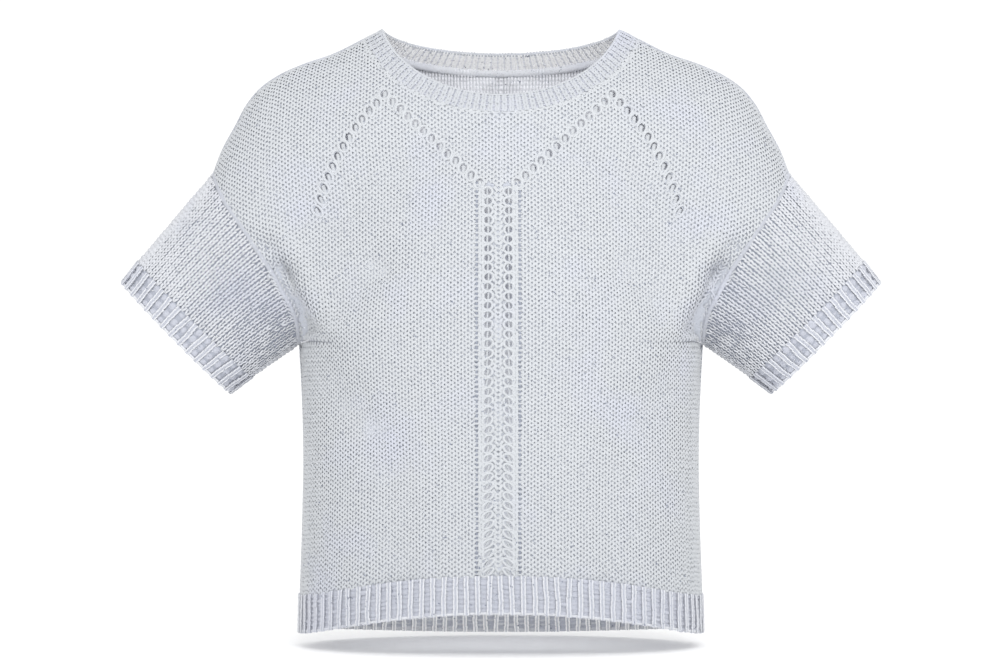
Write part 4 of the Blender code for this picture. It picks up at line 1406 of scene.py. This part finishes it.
class JUMPER_OT_ribs(bpy.types.Operator):
    """Knit the ribs of the hem, the cuffs and the neck band"""

    bl_idname = "jumper.ribs"
    bl_label = "Ribs"

    def execute(self, context):
        sizes, yarn, rng = settings(context)
        course = sizes.course / MM
        for side in ("front", "back"):
            self.hem(side, course, sizes, yarn, rng)
        grids = rib_grid_cuff(course), rib_grid_cuff(CUFF_BLOCK)
        for name, mirror in (("left", 1), ("right", -1)):
            self.cuff(name, mirror, grids, sizes, yarn, rng)
        self.neck(sizes, yarn, rng)
        return {"FINISHED"}

    def knitted(self, name, slot, faces, knitting, lip, mirror, sizes, yarn, rng):
        """The pieces of a rib's outer and inner yarn: its ridges with the lip, and its valleys."""
        pieces = []
        at_neck = name == "neck_band"
        # the outer valleys take painted shade; the inner ridges, and the neck band's inner valleys, take
        # painted light
        for face, (wales, valleys), ridge_yarn, valley_yarn in (
            ("", faces[0], yarn["neck"] if at_neck else yarn["ribs"], yarn["valleys"]),
            ("_inner", faces[1], yarn["backs"], yarn["inside"] if at_neck else yarn["ribs"]),
        ):
            ridges, bars = knitting(wales, valleys, sizes, rng)
            if not face:
                ridges = ridges + [lip]
            for part, strands, colour in (("_ridges", ridges, ridge_yarn), ("_valleys", bars, valley_yarn)):
                if mirror < 0:
                    strands = mirror_parts(strands)
                pieces.append(placed(add_mesh(name + face + part, strands, colour), slot))
        return pieces

    def hem(self, side, course, sizes, yarn, rng):
        name = "hem_rib_" + side
        slot = f"hem_{side}_rib_knit"
        grid = rib_grid_hem(side, course)
        fine = np.linspace(-QUARTER, QUARTER, HEM_POINTS)
        low = body_section(side, fine, hem_line(side, fine))
        outs = unit(low * (1, 1, 0))
        lip = lip_band(low - outs * WALL / 2 + (0, 0, LIP_INSET), np.tile([0, 0, -1.0], (len(low), 1)), False)
        faces = rib_faces((grid, grid), lambda places: from_middle(places, side), False)
        pieces = self.knitted(name, slot, faces, ribs_of, lip, 1, sizes, yarn, rng)
        rows = np.array([body_section(side, fine, hem_line(side, fine) + h)
                         for h in (RIB_FOOT, HEM_RIB / 2, HEM_RIB)])
        normals = grid_normals(rows, from_middle(rows, side))
        # painted shade on the hem rib's ground
        cloth = joined_wall(name + "_cloth", [wall_part(rows, normals, RIB_GROUND)], yarn["valleys"])
        placed(cloth, slot, name)

    def cuff(self, name, mirror, grids, sizes, yarn, rng):
        node, slot = "cuff_rib_" + name, f"cuff_rib_{name}_knit"
        centre = np.array([CUFF_CENTRE[0], 0, CUFF_CENTRE[1]])
        ring = cuff_ring(CUFF_EDGE_POINTS, 0.0)
        edge = ring - unit(ring - centre) * WALL / 2 - SLEEVE_AXIS * LIP_INSET
        lip = lip_band(edge, np.tile(SLEEVE_AXIS, (len(ring), 1)), True)
        faces = rib_faces(grids, from_sleeve_axis, True)
        pieces = self.knitted(node, slot, faces, cuff_ribs, lip, mirror, sizes, yarn, rng)
        rows = CUFF_RIB, CUFF_RIB / 2, RIB_FOOT
        rings = np.array([cuff_ring(CUFF_CLOTH_POINTS, above) for above in rows])
        normals = grid_normals(rings, rings - rings.mean(axis=1, keepdims=True), closed=True)
        turn = (mirror, 1, 1)
        part = wall_part(rings * turn, normals * turn, CUFF_GROUND, around=True)
        cloth = joined_wall(node + "_cloth", [part], yarn["shade"], yarn["ribs"])
        placed(cloth, slot, node)

    def neck(self, sizes, yarn, rng):
        grid = rib_grid_neck()
        seam, edge = neck_rings()
        rows = np.array([seam, (seam + edge) / 2, edge])
        normals = grid_normals(rows, from_neck(rows), closed=True)
        rise = unit(edge - seam)
        lip = lip_band(edge - normals[2] * WALL / 2 - rise * LIP_INSET, rise, True)
        faces = rib_faces((grid, grid), from_neck, True)
        pieces = self.knitted("neck_band", "neck_band_knit", faces, neck_ribs, lip, 1, sizes, yarn, rng)
        part = wall_part(rows, normals, RIB_GROUND, around=True)
        # painted shade on the neck band's ground outside, painted light inside
        cloth = joined_wall("neck_band_cloth", [part], yarn["valleys"], yarn["inside"])
        placed(cloth, "neck_band_knit", "neck_band")


class JUMPER_OT_seams(bpy.types.Operator):
    """Sew the armhole, side, shoulder and neck seams"""

    bl_idname = "jumper.seams"
    bl_label = "Seams"

    def execute(self, context):
        yarn = settings(context)[1]
        parts = self.arm() + [self.shoulder(), self.side()]
        for name, mirror in (("left", 1), ("right", -1)):
            lots = parts if mirror > 0 else mirror_parts(parts)
            placed(add_mesh("seams_" + name, lots, yarn["seams"]), f"sleeve_{name}_knit")
        placed(add_mesh("neck_tape", [self.tape()], yarn["ribs"]), "neck_band_knit")
        return {"FINISHED"}

    def arm(self):
        """The outer and the inner band of the left armhole seam."""
        ring = armhole_ring()
        front, back = (half_skin(side, True)[1][LOWER_ROWS:, -1] for side in ("front", "back"))
        outs = unit(sleeve_skin()[1][0] + np.concatenate([front, back[-2:0:-1]]))
        inner = ring - outs * (WALL + INNER_SEAM_GAP)
        return [band(ring, outs, *ARM_SEAM, True), band(inner, -outs, *INNER_SEAM, True)]

    def shoulder(self):
        x, height = along(SHOULDER_LINE, np.linspace(0, 1, SHOULDER_POINTS)).T
        line = np.column_stack([x, 0 * x, height])
        rise = unit(np.column_stack([-np.gradient(height), 0 * x, np.gradient(x)]))
        return band(line, rise, *SHOULDER_SEAM, False)

    def side(self):
        heights = np.arange(HEM_HEIGHT, UNDERARM_HEIGHT, SIDE_STEP)
        x = through(BODY_SECTIONS, heights)[:, 0]
        line = np.column_stack([x, 0 * x, heights])
        return band(line, np.tile([1.0, 0, 0], (len(x), 1)), *SIDE_SEAM, False)

    def tape(self):
        """The tape along the inside of the neck band's seam."""
        rows = np.array(neck_rings())
        normals = grid_normals(rows, from_neck(rows), closed=True)
        inward = unit(normals[0] * (-1, -1, 0))
        line = rows[0] + inward * (WALL + TAPE_GAP) - (0, 0, TAPE_DROP)
        return band(line, inward, TAPE_WIDTH / 2, TAPE_HEIGHT, True, TAPE_SWELL)


WHITE = "#FFFFFF"
WORLD_STRENGTH = 1.1
FLOOR_REACH, FLOOR_ROUGHNESS, FLOOR_GRAIN = 4.0, 0.9, 3.333
SENSOR_WIDTH = 36.0
LIGHTS = [
    # name, place, aim, size, watts
    ("key_light", (0.25, -1.7, 0.75), (0, 0, -0.25), 1.2, 18.0),
    ("fill_light", (-0.4, -3.1, -0.3), (0, 0, -0.25), 1.3, 6.0),
    ("inner_fill_light", (0, -0.05, -0.39), (0, 0.1, -0.4), 0.26, 0.2),  # stands for light through the knit
]


class JUMPER_OT_stage(bpy.types.Operator):
    """Set the floor, the soft lights and the camera"""

    bl_idname = "jumper.stage"
    bl_label = "Stage"

    def execute(self, context):
        scene, stage = context.scene, context.scene.jumper_stage
        world = bpy.data.worlds.new("soft_studio")
        world.use_nodes = True
        background = world.node_tree.nodes["Background"]
        background.inputs["Color"].default_value = linear(WHITE)
        background.inputs["Strength"].default_value = WORLD_STRENGTH
        scene.world = world
        scene.view_settings.view_transform = "Standard"
        self.floor(scene, stage)
        for light in LIGHTS:
            self.light(scene, *light)
        self.camera(scene, stage)
        return {"FINISHED"}

    def floor(self, scene, stage):
        mesh = bpy.data.meshes.new("floor")
        corners = [(x * FLOOR_REACH, y * FLOOR_REACH, 0) for x, y in ((-1, -1), (1, -1), (1, 1), (-1, 1))]
        mesh.from_pydata(corners, [], [(0, 1, 2, 3)])
        floor = bpy.data.objects.new("floor", mesh)
        floor.location.z = stage.floor_height
        mesh.materials.append(self.paper())
        scene.collection.objects.link(floor)

    def paper(self):
        """Matt white studio paper. Its grain, drawn coarser than real, breaks up the light it throws back."""
        paper = bpy.data.materials.new("white_studio_paper")
        paper.use_nodes = True
        tree = paper.node_tree
        shader = tree.nodes["Principled BSDF"]
        place = add_node(tree, "ShaderNodeTexCoord").outputs["Object"]
        grain = add_node(tree, "ShaderNodeTexNoise", [("Vector", place)], Scale=noise_scale(FLOOR_GRAIN))
        bump = add_node(tree, "ShaderNodeBump", [("Height", grain.outputs["Fac"])], Strength=0.05)
        tree.links.new(bump.outputs["Normal"], shader.inputs["Normal"])
        shader.inputs["Base Color"].default_value = linear(WHITE)
        shader.inputs["Roughness"].default_value = FLOOR_ROUGHNESS
        return paper

    def light(self, scene, name, place, aim, size, watts):
        lamp = bpy.data.lights.new(name, "AREA")
        lamp.size = size
        lamp.energy = watts
        item = bpy.data.objects.new(name, lamp)
        item.location = place
        item.rotation_euler = (Vector(aim) - Vector(place)).to_track_quat("-Z", "Y").to_euler()
        item.visible_camera = False
        scene.collection.objects.link(item)

    def camera(self, scene, stage):
        """A level camera that faces the front."""
        lens = bpy.data.cameras.new("camera")
        lens.sensor_width = SENSOR_WIDTH
        lens.lens = SENSOR_WIDTH * stage.camera_distance / stage.view_width
        camera = bpy.data.objects.new("camera", lens)
        camera.location = (stage.camera_side, -stage.camera_distance, stage.camera_height)
        camera.rotation_euler = (QUARTER, 0, 0)
        scene.collection.objects.link(camera)
        scene.camera = camera


class JUMPER_PT_pieces(bpy.types.Panel):
    """The jumper's sizes, colours and pieces"""

    bl_label = "Lace jumper"
    bl_idname = "JUMPER_PT_pieces"
    bl_space_type = "VIEW_3D"
    bl_region_type = "UI"
    bl_category = "Jumper"

    def draw(self, context):
        scene, layout = context.scene, self.layout
        for group in (scene.jumper_sizes, scene.jumper_colours, scene.jumper_stage):
            box = layout.box()
            for name in group.__annotations__:
                box.prop(group, name)
        for operator in OPERATORS:
            layout.operator(operator.bl_idname)


GROUPS = {"jumper_sizes": JumperKnitSizes, "jumper_colours": JumperColours, "jumper_stage": JumperStage}
OPERATORS = (JUMPER_OT_front, JUMPER_OT_back, JUMPER_OT_sleeves, JUMPER_OT_ribs, JUMPER_OT_seams,
             JUMPER_OT_stage)


def register():
    for group in GROUPS.values():
        bpy.utils.register_class(group)
    for name, group in GROUPS.items():
        setattr(bpy.types.Scene, name, bpy.props.PointerProperty(type=group))
    for item in (*OPERATORS, JUMPER_PT_pieces):
        bpy.utils.register_class(item)


def unregister():
    for item in (JUMPER_PT_pieces, *reversed(OPERATORS)):
        bpy.utils.unregister_class(item)
    for name, group in GROUPS.items():
        delattr(bpy.types.Scene, name)
        bpy.utils.unregister_class(group)


def main():
    register()
    bpy.ops.jumper.front()
    bpy.ops.jumper.back()
    bpy.ops.jumper.sleeves()
    bpy.ops.jumper.ribs()
    bpy.ops.jumper.seams()
    bpy.ops.jumper.stage()
    bpy.context.view_layer.update()


if __name__ == "__main__":
    main()
